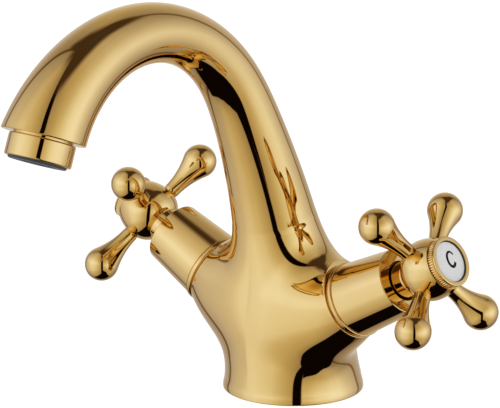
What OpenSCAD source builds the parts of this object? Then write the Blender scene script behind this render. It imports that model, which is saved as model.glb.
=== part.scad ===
// Two-handle single-hole basin mixer with a swan-neck spout and ball-tipped cross handles.
// Millimetres, +Z up. The origin is the centre of the foot on the deck, the spout points to -Y
// and the cold valve is on the +X side.

/* [Foot] */
// Diameter of the foot on the deck
foot_d = 51; // [48:0.5:60]
// Height of the turned foot
foot_h = 6; // [5:0.5:8]
// Radius of the rounded edge under the foot
foot_edge_r = 0.9; // [0.4:0.1:1.8]
// Diameter of the recess under the foot
foot_recess_d = 37; // [34:0.5:40]
// Depth of the recess under the foot
foot_recess_h = 3.5; // [1:0.5:4]

/* [Swan neck] */
// Bend radius of the stem, which leans forward as it rises
stem_bend_r = 254.2; // [230:0.2:300]
// Depth under the deck at which the stem curve would stand upright
stem_root_drop = 9; // [0:1:15]
// Lean of the stem in degrees where the arch begins
stem_top_lean = 28.2; // [24:0.2:34]
// Bend radius of the arch
arch_bend_r = 54.3; // [48:0.1:62]
// Lean of the spout in degrees at its outlet, where 180 points straight down
spout_end_lean = 150.8; // [140:0.2:165]
// Tilt of the outlet face from level in degrees
outlet_tilt = 21; // [10:0.5:30]
// Length of spout over which its sections turn to the outlet face
outlet_turn_length = 24; // [16:1:36]
// Diameter of the neck at its slimmest point
slim_d = 19.9; // [18:0.1:24]
// Lean in degrees at the slimmest point
slim_lean = 69; // [50:1:90]
// Diameter of the stem taper at deck level
stem_root_d = 46.2; // [40:0.2:48]
// Diameter of the spout at its outlet
outlet_d = 28.4; // [27:0.2:32]
// Power of the taper, where 1 is straight and 2 is a parabola
taper_power = 1.67; // [1.3:0.01:2]
// Diameter of the waterway in the neck
waterway_d = 12; // [8:0.5:14]

/* [Valve body] */
// Diameter of the body above the foot
waist_d = 49.2; // [46:0.2:50]
// Height at which the body's shoulder would close
shoulder_h = 37; // [34:0.5:44]
// How much the body spreads again towards the foot, on its radius
foot_flare = 0.9; // [0:0.1:1.2]
// Height over which the body spreads to the foot
foot_flare_h = 12; // [8:1:16]
// Tilt of each valve above level in degrees
valve_tilt = 26.7; // [22:0.1:32]
// Height of the point where the two valve axes cross
valve_root_z = 22.7; // [20:0.1:26]
// Distance of the valve axes in front of the foot's centre
valve_forward = 5.2; // [2:0.1:8]
// Distance along a valve axis from the crossing to the face that a shroud seats on
valve_end = 36; // [34:0.5:40]
// Diameter of a valve arm at its end
valve_end_d = 26.4; // [25:0.1:27]
// Diameter to which the valve arms widen where their axes cross
valve_root_d = 37; // [30:0.5:40]
// Power of the curve by which the valve arms swell, where 1 is straight
valve_swell = 3; // [1:0.5:4]
// Size of the blend between the body and the top of the valve arms
blend_over = 17.4; // [10:0.2:20]
// Size of the blend between the body and the underside of the valve arms
blend_under = 10; // [6:0.2:14]
// Size of the blend between the body's shoulder and the stem
shoulder_blend = 2; // [1:0.5:6]

/* [Inlets and fixing] */
// Thread diameter of the two hose inlets
inlet_thread_d = 10; // [8:1:12]
// Depth of the hose inlet threads
inlet_thread_depth = 10; // [8:1:12]
// Diameter of the supply drilling above each inlet
supply_d = 6; // [5:0.5:7]
// Thread diameter of the fixing stud hole
stud_thread_d = 8; // [6:1:10]
// Depth of the fixing stud thread
stud_thread_depth = 14; // [10:1:16]
// Distance of the fixing stud behind the foot's centre
stud_back = 11; // [10:0.5:13]
// Outer diameter of the foot seal
seal_d = 46; // [44:0.5:47]
// Width of the foot seal's section
seal_w = 2.2; // [1.5:0.1:3]
// Height of the foot seal's section
seal_h = 1.5; // [1:0.1:2]

/* [Shroud] */
// Length of a shroud, from the turned end of the body to its open mouth
shroud_l = 24.7; // [23:0.1:26]
// Outer diameter of a shroud next to its bead
shroud_base_d = 26.3; // [25:0.1:27]
// Outer diameter of a shroud at its mouth
shroud_mouth_d = 23.3; // [22.4:0.1:25]
// Outer diameter of the bead round the base of a shroud
bead_d = 27.2; // [26.6:0.1:28]
// Width of the bead
bead_w = 2; // [1.4:0.1:2.6]
// Wall of a shroud
shroud_wall = 1.1; // [0.8:0.1:1.3]
// Thickness of the web that screws on to the cartridge's collar
shroud_web = 1.8; // [1.2:0.1:2]
// Thickness of the end of a shroud
shroud_end_h = 1.2; // [1:0.1:1.6]
// Diameter of the hole in the end of a shroud
shroud_hole_d = 14.4; // [14:0.1:15]

/* [Cartridge] */
// Thread diameter of a cartridge
cartridge_thread_d = 18; // [17:0.2:18.4]
// Distance along a valve axis from the crossing to the seat of the cartridge
seat_s = 12; // [11:0.2:13]
// Outer diameter of the cage round the ceramic discs
cage_d = 15.6; // [15:0.1:16]
// Distance from the seat to the cartridge thread
cage_l = 13; // [12:0.5:14]
// Diameter of the ceramic discs
disc_d = 13.6; // [13:0.1:14]
// Thickness of each ceramic disc
disc_h = 2.8; // [2.4:0.1:3.2]
// Thickness of the seat seal
seat_seal_h = 2; // [1.5:0.1:2.5]
// Width of the seal between a cartridge and the body
body_seal_w = 1.25; // [1:0.05:1.6]
// Height of the seal between a cartridge and the body
body_seal_h = 1.6; // [1.2:0.1:2]
// Diameter of the threaded collar that carries the shroud
collar_d = 20.2; // [19.4:0.1:20.6]
// Height of the threaded collar
collar_h = 2.6; // [2.2:0.1:3.2]
// Distance across the flats of the cartridge's hexagon
hex_af = 15; // [14:0.5:15.5]
// Height of the cartridge's hexagon
hex_h = 4.4; // [3.5:0.1:5]
// Diameter of the cartridge neck round the spindle
gland_d = 12.8; // [12:0.1:13.2]
// Distance along a valve axis from the crossing to the end of the cartridge neck
gland_end = 55; // [53:0.5:56]
// Diameter of the spindle
spindle_d = 8; // [7.6:0.1:8.4]
// Number of splines on the spindle
spline_count = 20; // [16:2:24]
// Depth of the splines
spline_depth = 0.5; // [0.3:0.1:0.6]
// Length of the splined end
spline_l = 9; // [8:0.5:10]

/* [Handle] */
// Distance along a valve axis from the crossing to the centre of a handle
hub_s = 73.25; // [72:0.25:76]
// Largest diameter of a handle hub
hub_d = 21.7; // [21.2:0.1:24]
// Length of the hub's rounded back, from its centre
hub_back = 9.2; // [8.5:0.1:10]
// Length of the ellipse of the hub's front, from its centre
hub_front = 14.2; // [13:0.1:15]
// Distance from the hub's centre to its front face
hub_face = 7.6; // [7:0.1:8]
// Diameter of the hub's neck, which turns in the end of the shroud
hub_neck_d = 13; // [12:0.1:13.4]
// Radius of the circle through the centres of the ball tips
ball_circle_r = 26.6; // [25:0.1:30]
// Diameter of the ball tips
ball_d = 12.64; // [11:0.1:14]
// Diameter of an arm at its root
arm_root_d = 5.9; // [5.2:0.1:6.4]
// Distance from the valve axis to the flats on which the arms seat
arm_seat_r = 10.3; // [9.8:0.1:10.8]
// Diameter of the threaded stub on each arm
arm_stub_d = 3.8; // [3:0.1:4]
// Turn of the cold handle's arms from the valve's level line, in degrees
cold_arm_turn = 43.5; // [0:0.5:90]
// Turn of the hot handle's arms from the valve's level line, in degrees
hot_arm_turn = 40.6; // [0:0.5:90]
// Diameter of the screw that holds a handle
screw_d = 4; // [3.6:0.1:4.2]
// Head diameter of the handle screw
screw_head_d = 7; // [6.5:0.1:7.4]

/* [Index] */
// Outer diameter of an index ring
index_d = 17.8; // [17:0.1:18.4]
// Height of an index ring
index_h = 3.1; // [3:0.1:3.4]
// Height of the knurled band on an index ring
knurl_h = 2.3; // [1.2:0.1:2.4]
// Number of knurls round an index ring
knurl_count = 62; // [40:2:72]
// Depth of the knurls
knurl_depth = 0.35; // [0.2:0.05:0.5]
// Diameter of the white index disc
index_disc_d = 14.3; // [13.6:0.1:14.6]
// Thickness of the white index disc
index_disc_h = 1; // [0.8:0.1:1.2]
// Gap round the index disc
index_gap = 0.25; // [0.1:0.05:0.4]
// Diameter of the thread that holds an index ring in its hub
index_thread_d = 12; // [11:0.1:12.6]

/* [Aerator] */
// Thread diameter of the aerator in the spout
aerator_thread_d = 20; // [19:0.5:21]
// Depth of the thread in the spout
aerator_thread_depth = 8; // [6:0.5:9]
// Outer diameter of the aerator housing
aerator_d = 22.3; // [21.6:0.1:24]
// Height of the aerator housing below the spout
aerator_h = 8; // [6:0.1:10]
// Wall of the aerator housing
aerator_wall = 1.5; // [1.2:0.1:1.8]
// Distance across the flats of a honeycomb cell
cell_af = 2; // [1.6:0.1:2.6]
// Wall between two honeycomb cells
cell_wall = 0.45; // [0.35:0.05:0.6]

/* [Fits] */
// Radial clearance of a screwed or pushed fit
fit_gap = 0.05; // [0.03:0.01:0.1]
// Radial clearance round parts that pass through without being held
loose_gap = 0.2; // [0.15:0.05:0.3]
// Clearance between parts that turn past each other
running_gap = 0.3; // [0.3:0.05:0.5]

/* [Hidden] */
$fn = 96;

COLD = 1;
HOT = -1;
GOLD = "#D1AC62";
BRASS = "#B08D4C";
CERAMIC = "#E9E3D6";
RUBBER = "#26272A";
STEEL = "#B9BCC0";
PLASTIC = "#5A5C60";
WHITE = "#F4F4F2";

// Cutting tools reach this far past the faces that they open.
cut_over = 1;
// Solids of one piece overlap by this much where they join.
overlap = 0.01;
// Steps of an arc drawn as a polygon.
arc_steps = 14;
// Degrees in a radian.
deg = 180 / PI;

// ---------- Swan neck ----------

root_lean = asin(stem_root_drop / stem_bend_r);
stem_l = stem_bend_r * (stem_top_lean - root_lean) / deg;
arch_l = arch_bend_r * (spout_end_lean - stem_top_lean) / deg;
neck_l = stem_l + arch_l;
slim_s = stem_l + arch_bend_r * (slim_lean - stem_top_lean) / deg;

// Centres of the stem's and the arch's bends, as [y, z].
stem_bend = [-stem_bend_r * cos(root_lean), -stem_root_drop];
stem_top = stem_bend + stem_bend_r * [cos(stem_top_lean), sin(stem_top_lean)];
arch_bend = stem_top - arch_bend_r * [cos(stem_top_lean), sin(stem_top_lean)];

// Lean of the centreline at distance s from the deck.
function lean(s) =
    s < stem_l
        ? root_lean + deg * s / stem_bend_r
        : stem_top_lean + deg * (s - stem_l) / arch_bend_r;

// Point of the centreline, as [y, z] and in space.
function centre(s) =
    s < stem_l
        ? stem_bend + stem_bend_r * [cos(lean(s)), sin(lean(s))]
        : arch_bend + arch_bend_r * [cos(lean(s)), sin(lean(s))];
function centre3(s) = [0, centre(s).x, centre(s).y];

// Lean of the section plane's normal, which turns to the outlet's tilt at the end of the spout.
function section_lean(s) =
    let (t = max(0, 1 - (neck_l - s) / outlet_turn_length))
    lean(s) + t * t * (180 - outlet_tilt - spout_end_lean);

// Radius of the stem and spout, slimmest at slim_s.
function neck_r(s) =
    s < slim_s
        ? slim_d / 2 + (stem_root_d - slim_d) / 2 * pow(1 - s / slim_s, taper_power)
        : slim_d / 2 + (outlet_d - slim_d) / 2 * pow((s - slim_s) / (neck_l - slim_s), taper_power);

// ---------- Blended body ----------

// Smooth minimum and maximum: the two values blend where they are closer than k.
function smooth_min(a, b, k) = min(a, b) - pow(max(k - abs(a - b), 0) / k, 2) * k / 4;
function smooth_max(a, b, k) = -smooth_min(-a, -b, k);
function smooth_step(t) = let (x = min(max(t, 0), 1)) x * x * (3 - 2 * x);

// Radius of the body and stem without the valves.
function shoulder_r(s) = waist_d / 2 * sqrt(max(0, 1 - pow(max(s, 0) / shoulder_h, 2)));
function flare_r(s) = foot_flare * pow(max(0, 1 - s / foot_flare_h), 2);
function body_r(s) = smooth_max(neck_r(s), shoulder_r(s) + flare_r(s), shoulder_blend);

// Field that is negative inside the body and stem.
function stem_field(p) =
    let (
        from_bend = [p.y, p.z] - stem_bend,
        s = stem_bend_r * (atan2(from_bend.y, from_bend.x) - root_lean) / deg
    )
    norm([p.x, norm(from_bend) - stem_bend_r]) - body_r(s);

// The skin of a valve arm runs this far past the seat of the shroud, and is then cut flat.
arm_over = 3;

function arm_r_at(along) =
    (valve_end_d + (valve_root_d - valve_end_d) * (1 - pow(max(along, 0) / valve_end, valve_swell))) / 2;

// Distances of point p along and above the nearer valve axis.
function along_valve(p) = abs(p.x) * cos(valve_tilt) + (p.z - valve_root_z) * sin(valve_tilt);
function above_valve(p) = (p.z - valve_root_z) * cos(valve_tilt) - abs(p.x) * sin(valve_tilt);

// Field that is negative inside either valve arm.
function arm_field(p) =
    max(
        norm([above_valve(p), p.y + valve_forward]) - arm_r_at(along_valve(p)),
        along_valve(p) - valve_end - arm_over
    );

// The blend grows from blend_under to blend_over across the arm.
function blend_at(p) =
    blend_under + (blend_over - blend_under) * smooth_step(above_valve(p) / valve_end_d + 0.5);

function casting_field(p) = smooth_min(stem_field(p), arm_field(p), blend_at(p));

// ---------- Skin of the casting ----------

skin_columns = 56;
skin_reach = 60;
halvings = 15;
neck_row_step = 4.6;
// Plain rows between the foot and the fan.
foot_rows = [2 * foot_edge_r + 0.2, foot_h + 0.5, foot_h + 4, foot_h + 7];
// A fan of rays from one point of the centreline wraps the valve arms.
fan_s = 24;
fan_low = -20;
fan_high = 50;
fan_step = 3.5;
// The highest ray of the fan leaves the stem about this far along the centreline.
fan_exit_s = 44;
// Above the fan, its rays fold back to level up to this distance.
fold_end_s = 66;
fold_count = 8;
plain_count = ceil((neck_l - fold_end_s) / neck_row_step);

// A row of rays is where it starts on the centreline and how far its rays point upward.
fan_rows = [for (rise = [fan_low : fan_step : fan_high]) [fan_s, rise]];
fold_start_s = fan_s + neck_r(fan_exit_s) * tan(fan_high);
fold_rows = [
    for (i = [1 : fold_count])
        let (
            rise = fan_high * (1 - i / fold_count),
            exit_s = fold_start_s + (fold_end_s - fold_start_s) * i / fold_count
        )
        [exit_s - neck_r(exit_s) * tan(rise), rise]
];
searched_rows = concat([for (s = foot_rows) [s, 0]], fan_rows, fold_rows);
plain_rows = [for (i = [1 : plain_count]) fold_end_s + (neck_l - fold_end_s) * i / plain_count];

// Direction of a ray in a section with lean l, at angle a round the centreline.
function ray(l, a, rise) =
    [
        cos(rise) * cos(a),
        cos(rise) * sin(a) * cos(l) - sin(rise) * sin(l),
        cos(rise) * sin(a) * sin(l) + sin(rise) * cos(l)
    ];

// Distance from point o along direction d to the skin, by halving an interval.
function skin_distance(o, d, near, far, steps) =
    let (middle = (near + far) / 2)
    steps == 0 ? middle
        : casting_field(o + middle * d) < 0 ? skin_distance(o, d, middle, far, steps - 1)
        : skin_distance(o, d, near, middle, steps - 1);

function searched_row(s, rise) =
    [
        for (i = [0 : skin_columns - 1])
            let (o = centre3(s), d = ray(lean(s), 360 * i / skin_columns, rise))
            o + d * skin_distance(o, d, 0, skin_reach, halvings)
    ];

function round_row(s, r, columns) =
    [for (i = [0 : columns - 1]) centre3(s) + r * ray(section_lean(s), 360 * i / columns, 0)];

// Closed skin through rows of points that all have the same number of columns.
module skin(rows) {
    n = len(rows[0]);
    last = len(rows) - 1;
    sides = [
        for (j = [0 : last - 1], i = [0 : n - 1])
            let (a = j * n + i, b = j * n + (i + 1) % n)
            each [[a, a + n, b + n], [a, b + n, b]]
    ];
    bottom = [for (i = [0 : n - 1]) i];
    top = [for (i = [n - 1 : -1 : 0]) last * n + i];
    polyhedron(points = [for (row = rows) each row], faces = concat(sides, [bottom, top]));
}

// ---------- Frames and plain shapes ----------

// Valve frame: +Z runs out along the valve axis from where the two axes cross.
module on_valve(side) {
    translate([0, -valve_forward, valve_root_z])
        rotate([0, side * (90 - valve_tilt), 0])
            children();
}

// Outlet frame: +Z runs into the spout from the centre of its outlet face.
module on_outlet() {
    translate(centre3(neck_l))
        rotate([-outlet_tilt, 0, 0])
            children();
}

// Arm frame: +Z runs out from the valve axis through the hub's centre.
module on_arm(turn) {
    translate([0, 0, hub_s])
        rotate([0, 0, turn])
            rotate([0, 90, 0])
                children();
}

// A round bar or drilling from z0 to z1.
module bar(d, z0, z1) {
    translate([0, 0, z0]) cylinder(d = d, h = z1 - z0);
}

// A tube from z0 to z1.
module tube(outer_d, inner_d, z0, z1) {
    difference() {
        bar(outer_d, z0, z1);
        bar(inner_d, z0 - cut_over, z1 + cut_over);
    }
}

// Points of an arc round c, as [r, z] pairs.
function arc(c, r, a0, a1, steps = arc_steps) =
    [for (i = [0 : steps]) let (a = a0 + (a1 - a0) * i / steps) c + r * [cos(a), sin(a)]];

// Points of a ring of teeth, for splines and knurls.
function toothed_ring(outer_r, depth, count) =
    [
        for (i = [0 : 2 * count - 1])
            let (r = i % 2 == 0 ? outer_r : outer_r - depth, a = 180 * i / count)
            r * [cos(a), sin(a)]
    ];

// ---------- Body casting ----------

cartridge_bore_d = cartridge_thread_d + 2 * fit_gap;
body_seal_d = cartridge_bore_d + 2 * body_seal_w;
cage_bore_d = cage_d + 2 * loose_gap;
cage_bore_end = seat_s + cage_l - 5;
inlet_x = seat_s * cos(valve_tilt);
inlet_z = foot_recess_h;
seat_z = valve_root_z + seat_s * sin(valve_tilt);
// The cross drilling meets the top of both cartridge bores and the waterway.
mix_d = 5.2;
mix_s = seat_s + cage_l - 2;
mix_rise = cartridge_bore_d / 2 - loose_gap;
mix_z = valve_root_z + mix_s * sin(valve_tilt) + mix_rise * cos(valve_tilt);
mix_x = mix_s * cos(valve_tilt) - mix_rise * sin(valve_tilt) + cut_over;
// The waterway starts just under the cross drilling and ends in the relief behind the aerator.
waterway_start = 38;
waterway_columns = 20;
waterway_rows = 28;
relief_l = 2.5;
relief_d = waterway_d + 3;
relief_end = aerator_thread_depth + relief_l;
waterway_end = neck_l - relief_end + cut_over;
// The top of the foot lies this far inside the skin, so that the two run together.
foot_sink = 0.3;
// A slimmer spigot leaves a fine groove between each valve arm and its shroud.
groove_w = 0.5;
spigot_d = valve_end_d - 1.2;
arm_trim_d = valve_end_d + 8;

module foot_profile() {
    foot_r = foot_d / 2;
    polygon(concat(
        [[0, 0]],
        arc([foot_r - foot_edge_r, foot_edge_r], foot_edge_r, -90, 0, 6),
        [[foot_r, 2 * foot_edge_r], [waist_d / 2 - foot_sink, foot_h], [0, foot_h]]
    ));
}

module waterway() {
    skin([
        for (i = [0 : waterway_rows])
            let (s = waterway_start + (waterway_end - waterway_start) * i / waterway_rows)
            round_row(s, waterway_d / 2, waterway_columns)
    ]);
}

module valve_cuts() {
    bar(cage_bore_d, seat_s, cage_bore_end + overlap);
    bar(cartridge_bore_d, cage_bore_end, valve_end + cut_over);
    bar(body_seal_d + 2 * fit_gap, valve_end - body_seal_h, valve_end + cut_over);
}

module inlet_cuts() {
    translate([0, -valve_forward, 0]) {
        bar(supply_d, inlet_z, seat_z + cut_over);
        bar(inlet_thread_d, inlet_z - cut_over, inlet_z + inlet_thread_depth);
    }
}

module foot_cuts() {
    bar(foot_recess_d, -cut_over, foot_recess_h);
    tube(seal_d + 2 * fit_gap, seal_d - 2 * seal_w - 2 * fit_gap, -cut_over, seal_h);
    translate([0, stud_back, 0])
        bar(stud_thread_d, foot_recess_h - cut_over, foot_recess_h + stud_thread_depth);
}

// The blended skin, with the end of each valve arm cut flat.
module casting_skin() {
    difference() {
        skin(concat(
            [for (row = searched_rows) searched_row(row[0], row[1])],
            [for (s = plain_rows) round_row(s, body_r(s), skin_columns)]
        ));
        for (side = [COLD, HOT])
            on_valve(side) bar(arm_trim_d, valve_end - groove_w, valve_end + 2 * arm_over);
    }
}

module body_casting() {
    color(GOLD)
        difference() {
            union() {
                casting_skin();
                rotate_extrude() foot_profile();
                for (side = [COLD, HOT])
                    on_valve(side) bar(spigot_d, seat_s, valve_end);
            }
            foot_cuts();
            for (side = [COLD, HOT]) {
                on_valve(side) valve_cuts();
                translate([side * inlet_x, 0, 0]) inlet_cuts();
            }
            translate([0, -valve_forward, mix_z]) rotate([0, 90, 0]) bar(mix_d, -mix_x, mix_x);
            waterway();
            on_outlet() {
                bar(aerator_thread_d + 2 * fit_gap, -cut_over, aerator_thread_depth);
                bar(relief_d, aerator_thread_depth - overlap, relief_end);
            }
        }
}

module foot_seal() {
    color(RUBBER) tube(seal_d, seal_d - 2 * seal_w, 0, seal_h);
}

// ---------- Aerator ----------

aerator_bore_d = aerator_thread_d - 2 * aerator_wall;
aerator_edge = 0.6;
// The housing hangs on its thread a little below the spout, under a rounded shoulder.
aerator_gap = 0.5;
aerator_shoulder_r = 0.8;
insert_d = aerator_bore_d - 2 * fit_gap;
insert_h = 10;
insert_rim = 1;
// The plate of the insert lies in a counterbore and stands a little out of the housing.
plate_d = aerator_thread_d - 0.4;
plate_h = 1.8;
plate_edge = 0.3;
plate_out = 0.7;
insert_z = -aerator_h - plate_out;
cells_d = insert_d - 2 * insert_rim;
cell_pitch = cell_af + cell_wall;
cell_rings = floor((cells_d - cell_af) / 2 / cell_pitch);
washer_h = 1.5;
washer_w = 2.7;
washer_z = aerator_thread_depth - washer_h;

module aerator_housing() {
    outer_r = aerator_d / 2;
    shoulder = [outer_r - aerator_shoulder_r, -aerator_gap - aerator_shoulder_r];
    color(GOLD)
        on_outlet()
            difference() {
                union() {
                    rotate_extrude()
                        polygon(concat(
                            [
                                [0, -aerator_h],
                                [outer_r - aerator_edge, -aerator_h],
                                [outer_r, aerator_edge - aerator_h]
                            ],
                            arc(shoulder, aerator_shoulder_r, 0, 90, 6),
                            [[0, -aerator_gap]]
                        ));
                    bar(aerator_thread_d, -aerator_gap - overlap, washer_z);
                }
                bar(plate_d + 2 * fit_gap, -aerator_h - cut_over, insert_z + plate_h);
                bar(aerator_bore_d, insert_z, washer_z + cut_over);
            }
}

// Flow straightener: a tube with a honeycomb plate under it.
module aerator_insert() {
    plate_r = plate_d / 2;
    color(PLASTIC)
        on_outlet()
            translate([0, 0, insert_z])
                difference() {
                    union() {
                        rotate_extrude()
                            polygon([
                                [0, 0],
                                [plate_r - plate_edge, 0],
                                [plate_r, plate_edge],
                                [plate_r, plate_h],
                                [0, plate_h]
                            ]);
                        bar(insert_d, plate_h - overlap, insert_h);
                    }
                    bar(cells_d, plate_h, insert_h + cut_over);
                    honeycomb();
                }
}

module honeycomb() {
    translate([0, 0, -cut_over])
        linear_extrude(plate_h + 2 * cut_over)
            for (q = [-cell_rings : cell_rings], r = [-cell_rings : cell_rings])
                if (abs(q + r) <= cell_rings)
                    translate([cell_pitch * (q + r / 2), cell_pitch * r * sin(60)])
                        rotate(30)
                            circle(d = cell_af / cos(30), $fn = 6);
}

module aerator_washer() {
    color(RUBBER)
        on_outlet()
            tube(
                aerator_thread_d,
                aerator_thread_d - 2 * washer_w,
                washer_z,
                aerator_thread_depth
            );
}

// ---------- Shroud ----------

shroud_mouth = valve_end + shroud_l;
shroud_rim = 0.4;
// Shallow groove between the bead and the plain wall.
bead_groove = 0.35;

module shroud() {
    bead_r = bead_w / 2;
    base_s = valve_end + bead_w + bead_groove;
    base_r = shroud_base_d / 2;
    mouth_r = shroud_mouth_d / 2;
    hole_r = shroud_hole_d / 2;
    end_s = shroud_mouth - shroud_end_h;
    web_r = collar_d / 2 + fit_gap;
    color(GOLD)
        rotate_extrude()
            polygon(concat(
                [[web_r, valve_end]],
                arc([bead_d / 2 - bead_r, valve_end + bead_r], bead_r, -90, 90, 10),
                [
                    [base_r - bead_groove, base_s - bead_groove],
                    [base_r, base_s],
                    [mouth_r, shroud_mouth - shroud_rim],
                    [mouth_r - shroud_rim, shroud_mouth],
                    [hole_r, shroud_mouth],
                    [hole_r, end_s],
                    [mouth_r - shroud_wall, end_s],
                    [base_r - shroud_wall, base_s],
                    [base_r - shroud_wall, valve_end + shroud_web],
                    [web_r, valve_end + shroud_web]
                ]
            ));
}

// ---------- Cartridge ----------

cage_s = seat_s + seat_seal_h;
thread_s = seat_s + cage_l;
hex_s = valve_end + collar_h;
gland_s = hex_s + hex_h;
// The moving disc turns on the fixed one with only a film of grease between them.
disc_film = 0.02;
fixed_disc_s = cage_s;
moving_disc_s = fixed_disc_s + disc_h + disc_film;
disc_bore_d = disc_d + 2 * fit_gap;
driver_s = moving_disc_s + disc_h;
driver_h = 3.4;
driver_d = disc_d - 2 * loose_gap;
driver_end = driver_s + driver_h + running_gap;
spindle_bore_d = spindle_d + 2 * fit_gap;
spindle_seal_s = gland_s + 3;
spindle_seal_w = 1.6;
spindle_groove_d = spindle_bore_d + 2 * spindle_seal_w;
port_w = 6;
port_rim = 1.4;
seat_seal_w = 2.8;

module cartridge_body() {
    color(BRASS)
        difference() {
            union() {
                bar(cage_d, cage_s, thread_s + overlap);
                bar(cartridge_thread_d, thread_s, valve_end + overlap);
                bar(collar_d, valve_end, hex_s + overlap);
                translate([0, 0, hex_s]) cylinder(d = hex_af / cos(30), h = hex_h + overlap, $fn = 6);
                bar(gland_d, gland_s, gland_end);
            }
            bar(disc_bore_d, cage_s - cut_over, driver_end);
            bar(spindle_bore_d, cage_s, gland_end + cut_over);
            bar(spindle_groove_d, spindle_seal_s, spindle_seal_s + spindle_seal_w);
            // Ports that let the water out of the cage, above the discs.
            for (turn = [0, 90])
                rotate(turn)
                    translate([-cage_d, -port_w / 2, driver_s + loose_gap])
                        cube([2 * cage_d, port_w, driver_h]);
        }
}

module seat_seal() {
    color(RUBBER) tube(cage_d - 2 * fit_gap, cage_d - 2 * seat_seal_w, seat_s, cage_s);
}

// Seal round the cartridge in the mouth of the body, pressed by the cartridge's collar.
module body_seal() {
    color(RUBBER) tube(body_seal_d, cartridge_bore_d, valve_end - body_seal_h, valve_end);
}

module spindle_seal() {
    color(RUBBER)
        tube(spindle_groove_d, spindle_bore_d, spindle_seal_s, spindle_seal_s + spindle_seal_w);
}

// Ceramic disc with two quarter-round water ports.
module ceramic_disc(s, turn) {
    color(CERAMIC)
        translate([0, 0, s])
            rotate(turn)
                linear_extrude(disc_h)
                    difference() {
                        circle(d = disc_d);
                        for (half = [0, 180]) rotate(half) disc_port();
                    }
}

module disc_port() {
    intersection() {
        difference() {
            circle(d = disc_d - 2 * port_rim);
            circle(d = 2 * port_rim);
        }
        translate([port_rim / 4, port_rim / 4]) square(disc_d / 2);
    }
}

// ---------- Spindle ----------

circlip_h = 0.6;
circlip_w = 1.5;
circlip_depth = 0.6;
circlip_opening = 2;
circlip_s = gland_end + running_gap;
spline_s = circlip_s + circlip_h + 2;
spline_end = spline_s + spline_l;
screw_hole_l = 8;

module spindle() {
    color(BRASS)
        difference() {
            union() {
                bar(driver_d, driver_s, driver_s + driver_h);
                bar(spindle_d, driver_s, spline_s + overlap);
                translate([0, 0, spline_s])
                    linear_extrude(spline_l)
                        polygon(toothed_ring(spindle_d / 2 - fit_gap, spline_depth, spline_count));
            }
            bar(screw_d + 2 * fit_gap, spline_end - screw_hole_l, spline_end + cut_over);
            tube(
                spindle_d + cut_over,
                spindle_d - 2 * circlip_depth,
                circlip_s - fit_gap,
                circlip_s + circlip_h + fit_gap
            );
        }
}

module circlip() {
    color(STEEL)
        translate([0, 0, circlip_s])
            linear_extrude(circlip_h)
                difference() {
                    circle(d = spindle_d + 2 * circlip_w);
                    circle(d = spindle_d - 2 * circlip_depth + 2 * fit_gap);
                    translate([0, -circlip_opening / 2]) square([spindle_d, circlip_opening]);
                }
}

// ---------- Handle ----------

hub_r = hub_d / 2;
hub_face_s = hub_s + hub_face;
neck_edge = 0.3;
screw_web = 1.2;
socket_s = spline_s + loose_gap;
socket_end = spline_end + loose_gap;
screw_seat = socket_end + screw_web;
screw_head_h = 3;
screw_key_af = 3;
head_bore_d = screw_head_d + 1.2;
index_thread_h = 2.8;
arm_stub_l = 3;
arm_edge = 0.5;
ball_r = ball_d / 2;
arm_r = arm_root_d / 2;
// The waist of an arm starts level with its root and runs tangent into the ball.
waist_start = arm_seat_r + 1;
waist_run = ball_circle_r - waist_start;
waist_bend_r = (waist_run * waist_run - (ball_r - arm_r) * (ball_r + arm_r)) / (2 * (ball_r - arm_r));
waist_angle = atan2(waist_run, arm_r + waist_bend_r);

// Outline of the hub and its neck: a bulb with a flat front, flatter behind than in front.
module hub_profile() {
    hub_neck_r = hub_neck_d / 2;
    back_angle = acos(hub_neck_r / hub_r);
    face_angle = asin(hub_face / hub_front);
    polygon(concat(
        [[0, socket_s], [hub_neck_r - neck_edge, socket_s], [hub_neck_r, socket_s + neck_edge]],
        [
            for (i = [0 : arc_steps])
                let (a = -back_angle * (1 - i / arc_steps))
                [hub_r * cos(a), hub_s + hub_back * sin(a)]
        ],
        [
            for (i = [1 : arc_steps])
                let (a = face_angle * i / arc_steps)
                [hub_r * cos(a), hub_s + hub_front * sin(a)]
        ],
        [[0, hub_face_s]]
    ));
}

module handle_hub(arm_turn) {
    color(GOLD)
        difference() {
            rotate_extrude() hub_profile();
            bar(spindle_d, socket_s - cut_over, socket_end);
            bar(screw_d + 2 * loose_gap, socket_end - overlap, screw_seat + overlap);
            bar(head_bore_d, screw_seat, hub_face_s - index_thread_h + overlap);
            bar(index_thread_d + 2 * fit_gap, hub_face_s - index_thread_h, hub_face_s + cut_over);
            for (i = [0 : 3])
                on_arm(arm_turn + 90 * i) {
                    bar(arm_stub_d + 2 * fit_gap, arm_seat_r - arm_stub_l - loose_gap, hub_r);
                    bar(arm_root_d + 2 * loose_gap, arm_seat_r, hub_r + cut_over);
                }
        }
}

module handle_arm(turn) {
    color(GOLD)
        on_arm(turn)
            rotate_extrude()
                polygon(concat(
                    [
                        [0, arm_seat_r - arm_stub_l],
                        [arm_stub_d / 2, arm_seat_r - arm_stub_l],
                        [arm_stub_d / 2, arm_seat_r],
                        [arm_r - arm_edge, arm_seat_r],
                        [arm_r, arm_seat_r + arm_edge]
                    ],
                    arc([arm_r + waist_bend_r, waist_start], waist_bend_r, 180, 180 - waist_angle),
                    arc([0, ball_circle_r], ball_r, -waist_angle, 90, 20)
                ));
}

module handle_screw() {
    color(STEEL)
        difference() {
            union() {
                bar(screw_d, spline_end - screw_hole_l + cut_over, screw_seat + overlap);
                bar(screw_head_d, screw_seat, screw_seat + screw_head_h);
            }
            translate([0, 0, screw_seat + screw_head_h / 3])
                cylinder(d = screw_key_af / cos(30), h = screw_head_h, $fn = 6);
        }
}

// ---------- Index ----------

index_front = hub_face_s + index_h;
index_bend_r = 0.7;
index_bore_d = index_thread_d - 3;
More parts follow.
